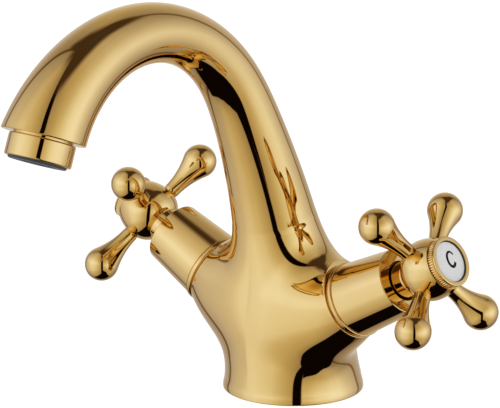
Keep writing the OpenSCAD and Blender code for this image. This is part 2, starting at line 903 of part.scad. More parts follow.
// The disc lies this far behind the rim of its ring, on a web.
index_disc_sink = 0.8;
index_web = 1;
// The knurls stand a little inside the smooth rim in front of them.
knurl_sink = 0.05;
index_disc_s = index_front - index_disc_sink - index_disc_h;

module index_ring() {
    ring_r = index_d / 2;
    knurl_r = ring_r - knurl_sink;
    core_r = knurl_r - 2 * knurl_depth;
    knurl_end = hub_face_s + knurl_h;
    color(GOLD)
        difference() {
            union() {
                bar(index_thread_d, hub_face_s - index_thread_h + loose_gap, hub_face_s + overlap);
                translate([0, 0, hub_face_s])
                    linear_extrude(knurl_h + overlap)
                        polygon(toothed_ring(knurl_r, knurl_depth, knurl_count));
                rotate_extrude()
                    polygon(concat(
                        [[0, hub_face_s], [core_r, hub_face_s], [core_r, knurl_end], [ring_r, knurl_end]],
                        arc([ring_r - index_bend_r, index_front - index_bend_r], index_bend_r, 0, 90, 6),
                        [[0, index_front]]
                    ));
            }
            bar(index_disc_d + 2 * index_gap, index_disc_s, index_front + cut_over);
            bar(index_bore_d, hub_face_s - index_thread_h - cut_over, index_disc_s - index_web);
        }
}

module index_disc() {
    color(WHITE)
        bar(index_disc_d, index_disc_s, index_disc_s + index_disc_h);
}

// ---------- Nodes ----------

body_casting();
foot_seal();
aerator_housing();
aerator_insert();
aerator_washer();

on_valve(COLD) shroud();  // cold_shroud
on_valve(COLD) cartridge_body();  // cold_cartridge_body
on_valve(COLD) seat_seal();  // cold_seat_seal
on_valve(COLD) body_seal();  // cold_body_seal
on_valve(COLD) ceramic_disc(fixed_disc_s, 0);  // cold_fixed_disc
on_valve(COLD) ceramic_disc(moving_disc_s, 90);  // cold_moving_disc
on_valve(COLD) spindle();  // cold_spindle
on_valve(COLD) spindle_seal();  // cold_spindle_seal
on_valve(COLD) circlip();  // cold_circlip
on_valve(COLD) handle_hub(cold_arm_turn);  // cold_handle_hub
on_valve(COLD) handle_arm(cold_arm_turn);  // cold_arm_1
on_valve(COLD) handle_arm(cold_arm_turn + 90);  // cold_arm_2
on_valve(COLD) handle_arm(cold_arm_turn + 180);  // cold_arm_3
on_valve(COLD) handle_arm(cold_arm_turn + 270);  // cold_arm_4
on_valve(COLD) handle_screw();  // cold_handle_screw
on_valve(COLD) index_ring();  // cold_index_ring
on_valve(COLD) index_disc();  // cold_index_disc

on_valve(HOT) shroud();  // hot_shroud
on_valve(HOT) cartridge_body();  // hot_cartridge_body
on_valve(HOT) seat_seal();  // hot_seat_seal
on_valve(HOT) body_seal();  // hot_body_seal
on_valve(HOT) ceramic_disc(fixed_disc_s, 0);  // hot_fixed_disc
on_valve(HOT) ceramic_disc(moving_disc_s, 90);  // hot_moving_disc
on_valve(HOT) spindle();  // hot_spindle
on_valve(HOT) spindle_seal();  // hot_spindle_seal
on_valve(HOT) circlip();  // hot_circlip
on_valve(HOT) handle_hub(hot_arm_turn);  // hot_handle_hub
on_valve(HOT) handle_arm(hot_arm_turn);  // hot_arm_1
on_valve(HOT) handle_arm(hot_arm_turn + 90);  // hot_arm_2
on_valve(HOT) handle_arm(hot_arm_turn + 180);  // hot_arm_3
on_valve(HOT) handle_arm(hot_arm_turn + 270);  // hot_arm_4
on_valve(HOT) handle_screw();  // hot_handle_screw
on_valve(HOT) index_ring();  // hot_index_ring
on_valve(HOT) index_disc();  // hot_index_disc
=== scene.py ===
"""Looks of a two-handle basin mixer in polished gold plate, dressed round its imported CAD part."""

import logging
import math
from collections.abc import Iterable, Sequence
from dataclasses import dataclass, field
from enum import Enum

import bmesh
import bpy
import numpy as np
from mathutils import Matrix, Vector


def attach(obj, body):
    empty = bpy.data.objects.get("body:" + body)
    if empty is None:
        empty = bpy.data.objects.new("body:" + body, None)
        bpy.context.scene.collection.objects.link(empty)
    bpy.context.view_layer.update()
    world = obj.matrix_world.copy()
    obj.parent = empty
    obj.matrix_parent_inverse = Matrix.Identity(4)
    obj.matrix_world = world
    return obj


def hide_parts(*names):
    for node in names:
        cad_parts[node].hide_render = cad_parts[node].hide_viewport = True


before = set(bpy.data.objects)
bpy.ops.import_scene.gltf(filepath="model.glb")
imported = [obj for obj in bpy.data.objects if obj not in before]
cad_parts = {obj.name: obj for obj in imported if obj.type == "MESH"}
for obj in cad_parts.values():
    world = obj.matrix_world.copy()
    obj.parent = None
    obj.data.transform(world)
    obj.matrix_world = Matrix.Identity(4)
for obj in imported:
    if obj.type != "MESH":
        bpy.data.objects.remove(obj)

LOG = logging.getLogger("basin_mixer")

Outline = list[tuple[float, float]]
Corner = tuple[float, float, float]
Colour = tuple[float, float, float]
Stops = Sequence[tuple[float, Sequence[float]]]
Input = bpy.types.NodeSocket | float | Sequence[float]

# Metres in a millimetre: sizes are kept in millimetres and meshes are made in metres.
MM = 0.001
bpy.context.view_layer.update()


class Body(Enum):
    """Bodies of the part that pieces ride on."""

    FAUCET = "faucet_body"
    COLD = "cold_handle"
    HOT = "hot_handle"


class Side(Enum):
    """The two valves, by the sign of X on which they stand."""

    COLD = 1
    HOT = -1

    @property
    def label(self) -> str:
        """Return the first word of the names of this side's nodes."""
        return self.name.lower()

    @property
    def body(self) -> Body:
        """Return the body that turns with this side's handle."""
        return Body.COLD if self is Side.COLD else Body.HOT


# ---------- Nodes and colours ----------


def linear(hex_colour: str) -> tuple[float, float, float, float]:
    """Turn an sRGB hex colour into the linear colour of a shader socket.

    Args:
        hex_colour: The colour as "#RRGGBB".

    Returns:
        Linear red, green and blue, with an alpha of 1.
    """
    values = [int(hex_colour[i : i + 2], 16) / 255 for i in (1, 3, 5)]
    red, green, blue = (v / 12.92 if v <= 0.04045 else ((v + 0.055) / 1.055) ** 2.4 for v in values)
    return red, green, blue, 1.0


def add_node(
    tree: bpy.types.NodeTree,
    kind: str,
    inputs: dict[str | int, Input] | None = None,
    stops: Stops = (),
    **settings: object,
) -> bpy.types.Node:
    """Add a node with its settings and links.

    Args:
        tree: The node tree that takes the node.
        kind: The node's type name.
        inputs: Values for its inputs, by name or number; an output socket is linked instead.
        stops: Positions and colours of a colour ramp.
        **settings: Properties of the node.

    Returns:
        The new node.
    """
    node = tree.nodes.new(kind)
    for name, value in settings.items():
        setattr(node, name, value)
    for key, value in (inputs or {}).items():
        if isinstance(value, bpy.types.NodeSocket):
            tree.links.new(value, node.inputs[key])
        else:
            node.inputs[key].default_value = value
    if stops:
        elements = node.color_ramp.elements
        while len(elements) < len(stops):
            elements.new(1.0)
        for element, (position, colour) in zip(elements, stops, strict=True):
            element.position = position
            element.color = colour
    return node


# ---------- Finishes ----------


@dataclass(frozen=True)
class Finish:
    """A finish: what the surface is made of and how it was made.

    The fields are the values that are the same all over the surface.
    """

    name: str
    colour: str
    roughness: float
    metallic: float = 0.0

    def material(self) -> bpy.types.Material:
        """Return the material of this finish, built when it is first asked for.

        Returns:
            The material.
        """
        known = bpy.data.materials.get(self.name)
        if known:
            return known
        made = bpy.data.materials.new(self.name)
        made.use_nodes = True
        tree = made.node_tree
        shader = tree.nodes["Principled BSDF"]
        shader.inputs["Base Color"].default_value = linear(self.colour)
        shader.inputs["Roughness"].default_value = self.roughness
        shader.inputs["Metallic"].default_value = self.metallic
        self.detail(tree, shader)
        return made

    def detail(self, tree: bpy.types.NodeTree, shader: bpy.types.Node) -> None:
        """Add the surface detail of this finish; each kind of finish has its own.

        Args:
            tree: The material's node tree.
            shader: Its principled shader.
        """
        raise NotImplementedError


@dataclass(frozen=True)
class PolishedPlate(Finish):
    """Gold PVD plate on buffed brass: a warm mirror with the faint swell that buffing leaves."""

    shade: str = "#E7BE6F"
    # Length of the swell that the buffing wheel leaves, in mm.
    swell: float = 9.0
    swell_height: float = 0.0012
    # Buffing haze comes in soft patches about this wide, in mm.
    haze: float = 6.0
    haze_roughness: float = 0.03
    # The haze goes from clear to dull between these values of its noise.
    haze_range: tuple[float, float] = (0.35, 0.7)

    def detail(self, tree: bpy.types.NodeTree, shader: bpy.types.Node) -> None:
        """Add soft haze, a breath of colour variation and the swell of the buffed surface.

        Args:
            tree: The material's node tree.
            shader: Its principled shader.
        """
        place = add_node(tree, "ShaderNodeTexCoord").outputs["Object"]
        haze = add_node(
            tree,
            "ShaderNodeTexNoise",
            {"Vector": place, "Scale": 1 / (self.haze * MM), "Detail": 3.0, "Roughness": 0.55},
        )
        clear, dull = self.haze_range
        roughness = add_node(
            tree,
            "ShaderNodeMapRange",
            {
                "Value": haze.outputs["Fac"],
                "From Min": clear,
                "From Max": dull,
                "To Min": self.roughness,
                "To Max": self.roughness + self.haze_roughness,
            },
        )
        tree.links.new(roughness.outputs["Result"], shader.inputs["Roughness"])
        tint = add_node(
            tree,
            "ShaderNodeMix",
            {"Factor": haze.outputs["Fac"], "A": linear(self.colour), "B": linear(self.shade)},
            data_type="RGBA",
        )
        tree.links.new(tint.outputs["Result"], shader.inputs["Base Color"])
        swell = add_node(
            tree,
            "ShaderNodeTexNoise",
            {"Vector": place, "Scale": 1 / (self.swell * MM), "Detail": 1.0},
        )
        bump = add_node(
            tree,
            "ShaderNodeBump",
            {"Height": swell.outputs["Fac"], "Strength": 1.0, "Distance": self.swell_height * MM},
        )
        tree.links.new(bump.outputs["Normal"], shader.inputs["Normal"])


@dataclass(frozen=True)
class TurnedMetal(Finish):
    """Metal left as it came off the lathe: fine bright and dull rings at the tool's feed."""

    dull: str = "#A8874A"
    # Feed of the lathe tool in mm, drawn about four times coarser than real so that it shows.
    feed: float = 0.4
    ring_height: float = 0.004
    ring_strength: float = 0.4
    # Width of the duller patches, in mm.
    patch: float = 3.0
    axis_tilt: float = 26.7

    def detail(self, tree: bpy.types.NodeTree, shader: bpy.types.Node) -> None:
        """Add tool rings, which follow the distance along the nearer valve's axis.

        Args:
            tree: The material's node tree.
            shader: Its principled shader.
        """
        place = add_node(tree, "ShaderNodeTexCoord").outputs["Object"]
        parts = add_node(tree, "ShaderNodeSeparateXYZ", {"Vector": place})
        across = add_node(tree, "ShaderNodeMath", {0: parts.outputs["X"]}, operation="ABSOLUTE")
        lean = math.radians(self.axis_tilt)
        along = add_node(
            tree,
            "ShaderNodeMath",
            {0: across.outputs[0], 1: math.cos(lean) / math.sin(lean), 2: parts.outputs["Z"]},
            operation="MULTIPLY_ADD",
        )
        rings = add_node(
            tree,
            "ShaderNodeMath",
            {0: along.outputs[0], 1: math.sin(lean) * math.tau / (self.feed * MM)},
            operation="MULTIPLY",
        )
        wave = add_node(tree, "ShaderNodeMath", {0: rings.outputs[0]}, operation="SINE")
        patches = add_node(
            tree,
            "ShaderNodeTexNoise",
            {"Vector": place, "Scale": 1 / (self.patch * MM), "Detail": 4.0},
        )
        tint = add_node(
            tree,
            "ShaderNodeMix",
            {"Factor": patches.outputs["Fac"], "A": linear(self.colour), "B": linear(self.dull)},
            data_type="RGBA",
        )
        tree.links.new(tint.outputs["Result"], shader.inputs["Base Color"])
        bump = add_node(
            tree,
            "ShaderNodeBump",
            {
                "Height": wave.outputs[0],
                "Strength": self.ring_strength,
                "Distance": self.ring_height * MM,
            },
        )
        tree.links.new(bump.outputs["Normal"], shader.inputs["Normal"])


@dataclass(frozen=True)
class Grained(Finish):
    """A fired, moulded or lapped material: soft mottling and a fine surface grain."""

    mottle: str = "#808080"
    # Width of the mottling and of the surface grain, in mm.
    mottle_width: float = 4.0
    grain_width: float = 0.3
    grain_height: float = 0.005
    grain_strength: float = 0.3
    coat: float = 0.0
    shine: float = 0.5

    def detail(self, tree: bpy.types.NodeTree, shader: bpy.types.Node) -> None:
        """Add the mottling of the colour and the relief of the grain.

        Args:
            tree: The material's node tree.
            shader: Its principled shader.
        """
        shader.inputs["Coat Weight"].default_value = self.coat
        shader.inputs["Specular IOR Level"].default_value = self.shine
        place = add_node(tree, "ShaderNodeTexCoord").outputs["Object"]
        mottle = add_node(
            tree,
            "ShaderNodeTexNoise",
            {"Vector": place, "Scale": 1 / (self.mottle_width * MM), "Detail": 3.0},
        )
        tint = add_node(
            tree,
            "ShaderNodeMix",
            {"Factor": mottle.outputs["Fac"], "A": linear(self.colour), "B": linear(self.mottle)},
            data_type="RGBA",
        )
        tree.links.new(tint.outputs["Result"], shader.inputs["Base Color"])
        grain = add_node(
            tree,
            "ShaderNodeTexNoise",
            {"Vector": place, "Scale": 1 / (self.grain_width * MM), "Detail": 2.0},
        )
        bump = add_node(
            tree,
            "ShaderNodeBump",
            {
                "Height": grain.outputs["Fac"],
                "Strength": self.grain_strength,
                "Distance": self.grain_height * MM,
            },
        )
        tree.links.new(bump.outputs["Normal"], shader.inputs["Normal"])


# Physical vapour deposited gold over buffed brass: a deep yellow mirror with no grain.
GOLD_PLATE = PolishedPlate("gold_plate_buffed", "#EBC475", 0.02, 1.0)
# Machined brass, unplated: warm, and dull enough to read as a working part.
TURNED_BRASS = TurnedMetal("brass_turned", "#C9A75E", 0.26, 1.0)
# Stamped and headed stainless steel: cool grey, with rings from the screw machine.
TURNED_STEEL = TurnedMetal("stainless_steel_turned", "#C8CBCF", 0.3, 1.0, dull="#A9ACB0")
# Lapped alumina discs: off-white, satin, very fine.
LAPPED_ALUMINA = Grained("alumina_lapped", "#EFE8DA", 0.3, mottle="#E4DCCB")
# Moulded nitrile rubber: near black and matt, with a soft bloom.
MOULDED_NITRILE = Grained(
    "nitrile_rubber_moulded", "#202124", 0.62, mottle="#2B2C2F", grain_height=0.012
)
# Injection-moulded acetal: dark grey with a satin skin.
MOULDED_ACETAL = Grained("acetal_moulded", "#3A3B3E", 0.42, mottle="#313235")
# Fired enamel of the index plates: clean white with a wet gloss.
FIRED_ENAMEL = Grained(
    "enamel_fired",
    "#FDF9E9",
    0.16,
    mottle="#F7F2E1",
    grain_width=1.2,
    grain_height=0.002,
    coat=0.5,
)
# Black enamel that fills the index letters: satin, and dark enough to read from afar.
LETTER_ENAMEL = Grained(
    "enamel_black_fill", "#0E0E0E", 0.5, mottle="#161616", grain_height=0.002, shine=0.12
)

# Finish of each CAD node that is shown as packed, by the end of its name.
INNER_FINISHES: dict[str, Finish] = {
    "foot_seal": MOULDED_NITRILE,
    "aerator_insert": MOULDED_ACETAL,
    "aerator_washer": MOULDED_NITRILE,
    "cartridge_body": TURNED_BRASS,
    "seat_seal": MOULDED_NITRILE,
    "body_seal": MOULDED_NITRILE,
    "spindle_seal": MOULDED_NITRILE,
    "fixed_disc": LAPPED_ALUMINA,
    "moving_disc": LAPPED_ALUMINA,
    "spindle": TURNED_BRASS,
    "circlip": TURNED_STEEL,
    "handle_screw": TURNED_STEEL,
}


# ---------- Shapes ----------

# Edges that turn more than this are left sharp in the shading.
SHARP_ANGLE = math.radians(32)
# Steps of each rounded corner of an outline, and the most of a side that a corner takes.
ARC_STEPS = 5
LARGEST_REACH = 0.49
# Radii of the corners that deburring leaves: inside a groove or step, and at an open edge.
BREAK_R = 0.12
RIM_BREAK_R = 0.15
# Steps round the larger turned forms, and round the small ones.
TURNED_SEGMENTS = 192
SMALL_SEGMENTS = 128


def rounded(corners: Iterable[Corner]) -> Outline:
    """Round the corners of an outline.

    Args:
        corners: Radius from the axis, distance along it and corner radius of each point, in mm.

    Returns:
        The outline, with an arc in place of each corner that has a radius.
    """
    points = [Vector(c[:2]) for c in corners]
    radii = [c[2] for c in corners]
    made: Outline = []
    for i, (point, radius) in enumerate(zip(points, radii, strict=True)):
        before = points[i - 1] - point
        after = points[(i + 1) % len(points)] - point
        if radius <= 0:
            made.append(tuple(point))
            continue
        half = before.angle(after) / 2
        widest = LARGEST_REACH * before.length, LARGEST_REACH * after.length
        reach = min(radius / math.tan(half), *widest)
        inner = reach * math.tan(half)
        inward = (before.normalized() + after.normalized()).normalized()
        middle = point + inward * (inner / math.sin(half))
        start = point + before.normalized() * reach - middle
        end = point + after.normalized() * reach - middle
        sweep = start.angle(end)
        for k in range(ARC_STEPS + 1):
            share = k / ARC_STEPS
            turned = (
                start * math.sin((1 - share) * sweep) + end * math.sin(share * sweep)
            ) / math.sin(sweep)
            made.append(tuple(middle + turned))
    return made


@dataclass
class Shape:
    """A mesh under construction, in metres, made into one piece at the end."""

    name: str
    bm: bmesh.types.BMesh = field(default_factory=bmesh.new)

    def join(self, low: Sequence[bmesh.types.BMVert], high: Sequence[bmesh.types.BMVert]) -> None:
        """Join two rings of as many vertices by a band of faces.

        Args:
            low: Vertices of the first ring.
            high: Vertices of the second, in the same order.
        """
        for i in range(len(low)):
            j = (i + 1) % len(low)
            self.bm.faces.new((low[i], low[j], high[j], high[i]))

    def grid(self, rows: np.ndarray, wrap_rows: bool = False) -> list[list[bmesh.types.BMVert]]:
        """Add a surface through rows of points that run round a closed section.

        Args:
            rows: Points in mm, as rows by columns by 3.
            wrap_rows: Whether the last row joins the first.

        Returns:
            The new vertices, row by row.
        """
        made = [[self.bm.verts.new(tuple(p)) for p in row * MM] for row in rows]
        pairs = list(zip(made, made[1:] + made[:1]))
        for low, high in pairs if wrap_rows else pairs[:-1]:
            self.join(low, high)
        return made

    def cap(self, ring: Sequence[bmesh.types.BMVert]) -> None:
        """Close a ring of vertices with one flat face."""
        self.bm.faces.new(ring)

    def turn(
        self,
        outline: Outline,
        place: Matrix,
        segments: int,
        flutes: "Flutes | None" = None,
    ) -> None:
        """Add a closed turned form.

        Args:
            outline: Closed outline as radius and distance along the axis, in mm. It touches the
                axis at its first and last point or not at all.
            place: Where the axis stands, in mm.
            segments: Steps round the axis.
            flutes: Flutes or knurls cut into part of the form.
        """
        solid = outline[0][0] <= 0
        turned = outline[1:-1] if solid else outline
        angles = np.arange(segments) * math.tau / segments
        radii = np.array([r for r, _ in turned])[:, None] * np.ones(segments)
        heights = np.array([s for _, s in turned])
        if flutes:
            radii -= flutes.depth_at(heights, angles)
        rows = np.stack(
            [radii * np.cos(angles), radii * np.sin(angles), heights[:, None] * np.ones(segments)],
            axis=-1,
        )
        turn, shift = np.array(place.to_3x3()), np.array(place.translation)
        rings = self.grid(rows @ turn.T + shift, wrap_rows=not solid)
        if solid:
            for ring, end in ((rings[0], outline[0]), (rings[-1], outline[-1])):
                tip = self.bm.verts.new(place @ Vector((0, 0, end[1])) * MM)
                for i, vert in enumerate(ring):
                    self.bm.faces.new((vert, ring[(i + 1) % segments], tip))

    def finish_shading(self) -> None:
        """Face all surfaces outward and mark the sharp edges."""
        bmesh.ops.recalc_face_normals(self.bm, faces=self.bm.faces)
        for face in self.bm.faces:
            face.smooth = True
        for edge in self.bm.edges:
            edge.smooth = not edge.is_boundary and edge.calc_face_angle(0.0) < SHARP_ANGLE

    def piece(
        self, finish: Finish, body: Body, replaces: Sequence[str] = ()
    ) -> bpy.types.Object:
        """Make the shape into a piece of the mixer.

        Args:
            finish: Its finish.
            body: The body it rides on.
            replaces: CAD nodes that it stands for.

        Returns:
            The new object.
        """
        self.finish_shading()
        mesh = bpy.data.meshes.new(self.name)
        self.bm.to_mesh(mesh)
        self.bm.free()
        mesh.materials.append(finish.material())
        made = bpy.data.objects.new(self.name, mesh)
        bpy.context.scene.collection.objects.link(made)
        weights = made.modifiers.new("even_shading", "WEIGHTED_NORMAL")
        weights.keep_sharp = True
        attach(made, body.value)
        if replaces:
            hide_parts(*replaces)
        LOG.info("built %s: %d faces, rides on %s", self.name, len(mesh.polygons), body.value)
        return made

    def plated(self, body: Body, replaced: str) -> None:
        """Make the shape into a gold-plated piece that stands for one CAD node."""
        self.piece(GOLD_PLATE, body, [replaced])


@dataclass(frozen=True)
class Flutes:
    """Straight knurls cut between two heights of a turned form."""

    count: int
    depth: float
    low: float
    high: float
    # The higher this is, the narrower the grooves and the wider the ridges.
    sharpness: float = 3.0

    def depth_at(self, heights: np.ndarray, angles: np.ndarray) -> np.ndarray:
        """Return the depth cut at each height and angle, in mm.

        Args:
            heights: Heights along the axis, in mm.
            angles: Angles round it, in radians.

        Returns:
            Depths as heights by angles.
        """
        inside = (heights > self.low) & (heights < self.high)
        wave = 0.5 - 0.5 * np.cos(self.count * angles)
        return self.depth * inside[:, None] * wave[None, :] ** self.sharpness


def smooth_step(t: np.ndarray) -> np.ndarray:
    """Return 0 below 0, 1 above 1 and a smooth rise between."""
    x = np.clip(t, 0, 1)
    return x * x * (3 - 2 * x)


def smooth_min(a: np.ndarray, b: np.ndarray, k: np.ndarray | float) -> np.ndarray:
    """Return the smaller value, with an even curve where the two come within 1.5 k.

    Args:
        a: The first values.
        b: The second values.
        k: Size of the blend, in mm.

    Returns:
        The blended values. Their curvature is continuous, so reflections run on without a kink.
    """
    near = np.maximum(1 - np.abs(a - b) / (1.5 * k), 0)
    return np.minimum(a, b) - near**3 * k / 4


# ---------- Swan neck and casting ----------


@dataclass
class SwanNeck:
    """Centreline and width of the stem and spout, with sizes in mm and leans in degrees."""

    stem_bend_r: float = 254.2
    stem_root_drop: float = 9.0
    stem_top_lean: float = 28.2
    arch_bend_r: float = 54.3
    spout_end_lean: float = 150.8
    outlet_tilt: float = 21.0
    outlet_turn_length: float = 24.0
    slim_d: float = 19.9
    slim_lean: float = 69.0
    stem_root_d: float = 46.2
    outlet_d: float = 28.4
    taper_power: float = 1.67
    waist_d: float = 49.2
    shoulder_h: float = 37.0
    foot_flare: float = 0.9
    foot_flare_h: float = 12.0
    shoulder_blend: float = 2.0
    # Length over which the stem's bend eases into the arch.
    ease: float = 30.0
    step: float = 0.05

    def __post_init__(self) -> None:
        """Work out the lengths and the table of the eased centreline."""
        self.root_lean = math.asin(self.stem_root_drop / self.stem_bend_r)
        stem_top, end = math.radians(self.stem_top_lean), math.radians(self.spout_end_lean)
        self.stem_l = self.stem_bend_r * (stem_top - self.root_lean)
        self.length = self.stem_l + self.arch_bend_r * (end - stem_top)
        self.slim_s = self.stem_l + self.arch_bend_r * (math.radians(self.slim_lean) - stem_top)
        self.table_s = np.arange(0, self.length + self.step, self.step)
        eased = smooth_step((self.table_s - self.stem_l) / self.ease + 0.5)
        sharp = (self.table_s > self.stem_l).astype(float)
        self.table_lean, self.table_yz = self.integrate(eased)
        _, exact = self.integrate(sharp)
        drift = smooth_step((self.table_s - self.stem_l + self.ease) / (self.length - self.stem_l))
        self.table_yz -= drift[:, None] * (self.table_yz[-1] - exact[-1])

    def integrate(self, share: np.ndarray) -> tuple[np.ndarray, np.ndarray]:
        """Follow a centreline whose bend goes from the stem's to the arch's.

        Args:
            share: Share of the arch's bend at each step, from 0 to 1.

        Returns:
            The lean in radians and the Y and Z of each step.
        """
        bend = (1 - share) / self.stem_bend_r + share / self.arch_bend_r
        turned = np.cumsum((bend[1:] + bend[:-1]) / 2 * self.step)
        lean = self.root_lean + np.concatenate([[0], turned])
        slope = np.stack([-np.sin(lean), np.cos(lean)], axis=-1)
        run = np.cumsum((slope[1:] + slope[:-1]) / 2 * self.step, axis=0)
        return lean, np.concatenate([np.zeros((1, 2)), run])

    def lean(self, s: np.ndarray) -> np.ndarray:
        """Return the lean of the centreline in radians."""
        return np.interp(s, self.table_s, self.table_lean)

    def section_lean(self, s: np.ndarray) -> np.ndarray:
        """Return the lean of the section's normal, which turns to the outlet's tilt at the end."""
        t = np.clip(1 - (self.length - s) / self.outlet_turn_length, 0, 1)
        return self.lean(s) + t * t * math.radians(180 - self.outlet_tilt - self.spout_end_lean)

    def centre(self, s: np.ndarray) -> np.ndarray:
        """Return points of the centreline."""
        y, z = (np.interp(s, self.table_s, self.table_yz[:, i]) for i in (0, 1))
        return np.stack([np.zeros_like(y), y, z], axis=-1)

    def neck_r(self, s: np.ndarray) -> np.ndarray:
        """Return the radius of the stem and spout, slimmest at slim_s.

        Args:
            s: Lengths along the centreline, in mm.

        Returns:
            Radii in mm.
        """
        below = np.clip(1 - s / self.slim_s, 0, None) ** self.taper_power
        past = (s - self.slim_s) / (self.length - self.slim_s)
        above = np.clip(past, 0, None) ** self.taper_power
        root = self.stem_root_d - self.slim_d
        tip = self.outlet_d - self.slim_d
        return (self.slim_d + root * below + tip * above) / 2

    def body_r(self, s: np.ndarray) -> np.ndarray:
        """Return the radius of the body, its flare and the stem together.

        Args:
            s: Lengths along the centreline, in mm.

        Returns:
            Radii in mm.
        """
        share = np.clip(s, 0, None) / self.shoulder_h
        shoulder = self.waist_d / 2 * np.sqrt(np.clip(1 - share**2, 0, 1))
        flare = self.foot_flare * np.clip(1 - s / self.foot_flare_h, 0, None) ** 2
        return -smooth_min(-self.neck_r(s), -shoulder - flare, self.shoulder_blend)

    def field(self, p: np.ndarray) -> np.ndarray:
        """Return a field that is negative inside the body and the lower stem.

        Args:
            p: Points in mm.

        Returns:
            Distances from the skin, near enough close to it.
        """
        bend = self.stem_bend_r * np.array([-math.cos(self.root_lean), -math.sin(self.root_lean)])
        y, z = p[..., 1] - bend[0], p[..., 2] - bend[1]
        s = self.stem_bend_r * (np.arctan2(z, y) - self.root_lean)
        return np.hypot(p[..., 0], np.hypot(y, z) - self.stem_bend_r) - self.body_r(s)


@dataclass
class ValveArms:
    """The two arms of the casting that carry the valves, with sizes in mm."""

    tilt: float = 26.7
    root_z: float = 22.7
    forward: float = 5.2
    end: float = 36.0
    end_d: float = 26.4
    root_d: float = 37.0
    swell: float = 3.0
    blend_over: float = 17.4
    blend_under: float = 10.0
    groove_w: float = 0.5
    edge_r: float = 0.3
    spigot_d: float = 25.2
    spigot_bore_d: float = 21.0

    def field(self, p: np.ndarray) -> np.ndarray:
        """Return a field that is negative inside either arm.

        Args:
            p: Points in mm.

        Returns:
            Distances from the nearer arm's skin.
        """
        along, above = self.along(p), self.above(p)
        share = 1 - (np.clip(along, 0, None) / self.end) ** self.swell
        radius = (self.end_d + (self.root_d - self.end_d) * share) / 2
        return np.hypot(above, p[..., 1] + self.forward) - radius

    def along(self, p: np.ndarray) -> np.ndarray:
        """Return the distance of each point along the nearer valve axis."""
        lean = math.radians(self.tilt)
        return np.abs(p[..., 0]) * math.cos(lean) + (p[..., 2] - self.root_z) * math.sin(lean)

    def above(self, p: np.ndarray) -> np.ndarray:
        """Return the distance of each point above the nearer valve axis."""
        lean = math.radians(self.tilt)
        return (p[..., 2] - self.root_z) * math.cos(lean) - np.abs(p[..., 0]) * math.sin(lean)

    def blend(self, p: np.ndarray) -> np.ndarray:
        """Return the size of the blend with the body, which grows from under to over the arm."""
        share = smooth_step(self.above(p) / self.end_d + 0.5)
        return self.blend_under + (self.blend_over - self.blend_under) * share

    def frame(self, side: Side) -> Matrix:
        """Return the valve's own frame, whose Z runs out along the valve axis, in mm."""
        lean = Matrix.Rotation(side.value * math.radians(90 - self.tilt), 4, "Y")
        return Matrix.Translation((0, -self.forward, self.root_z)) @ lean


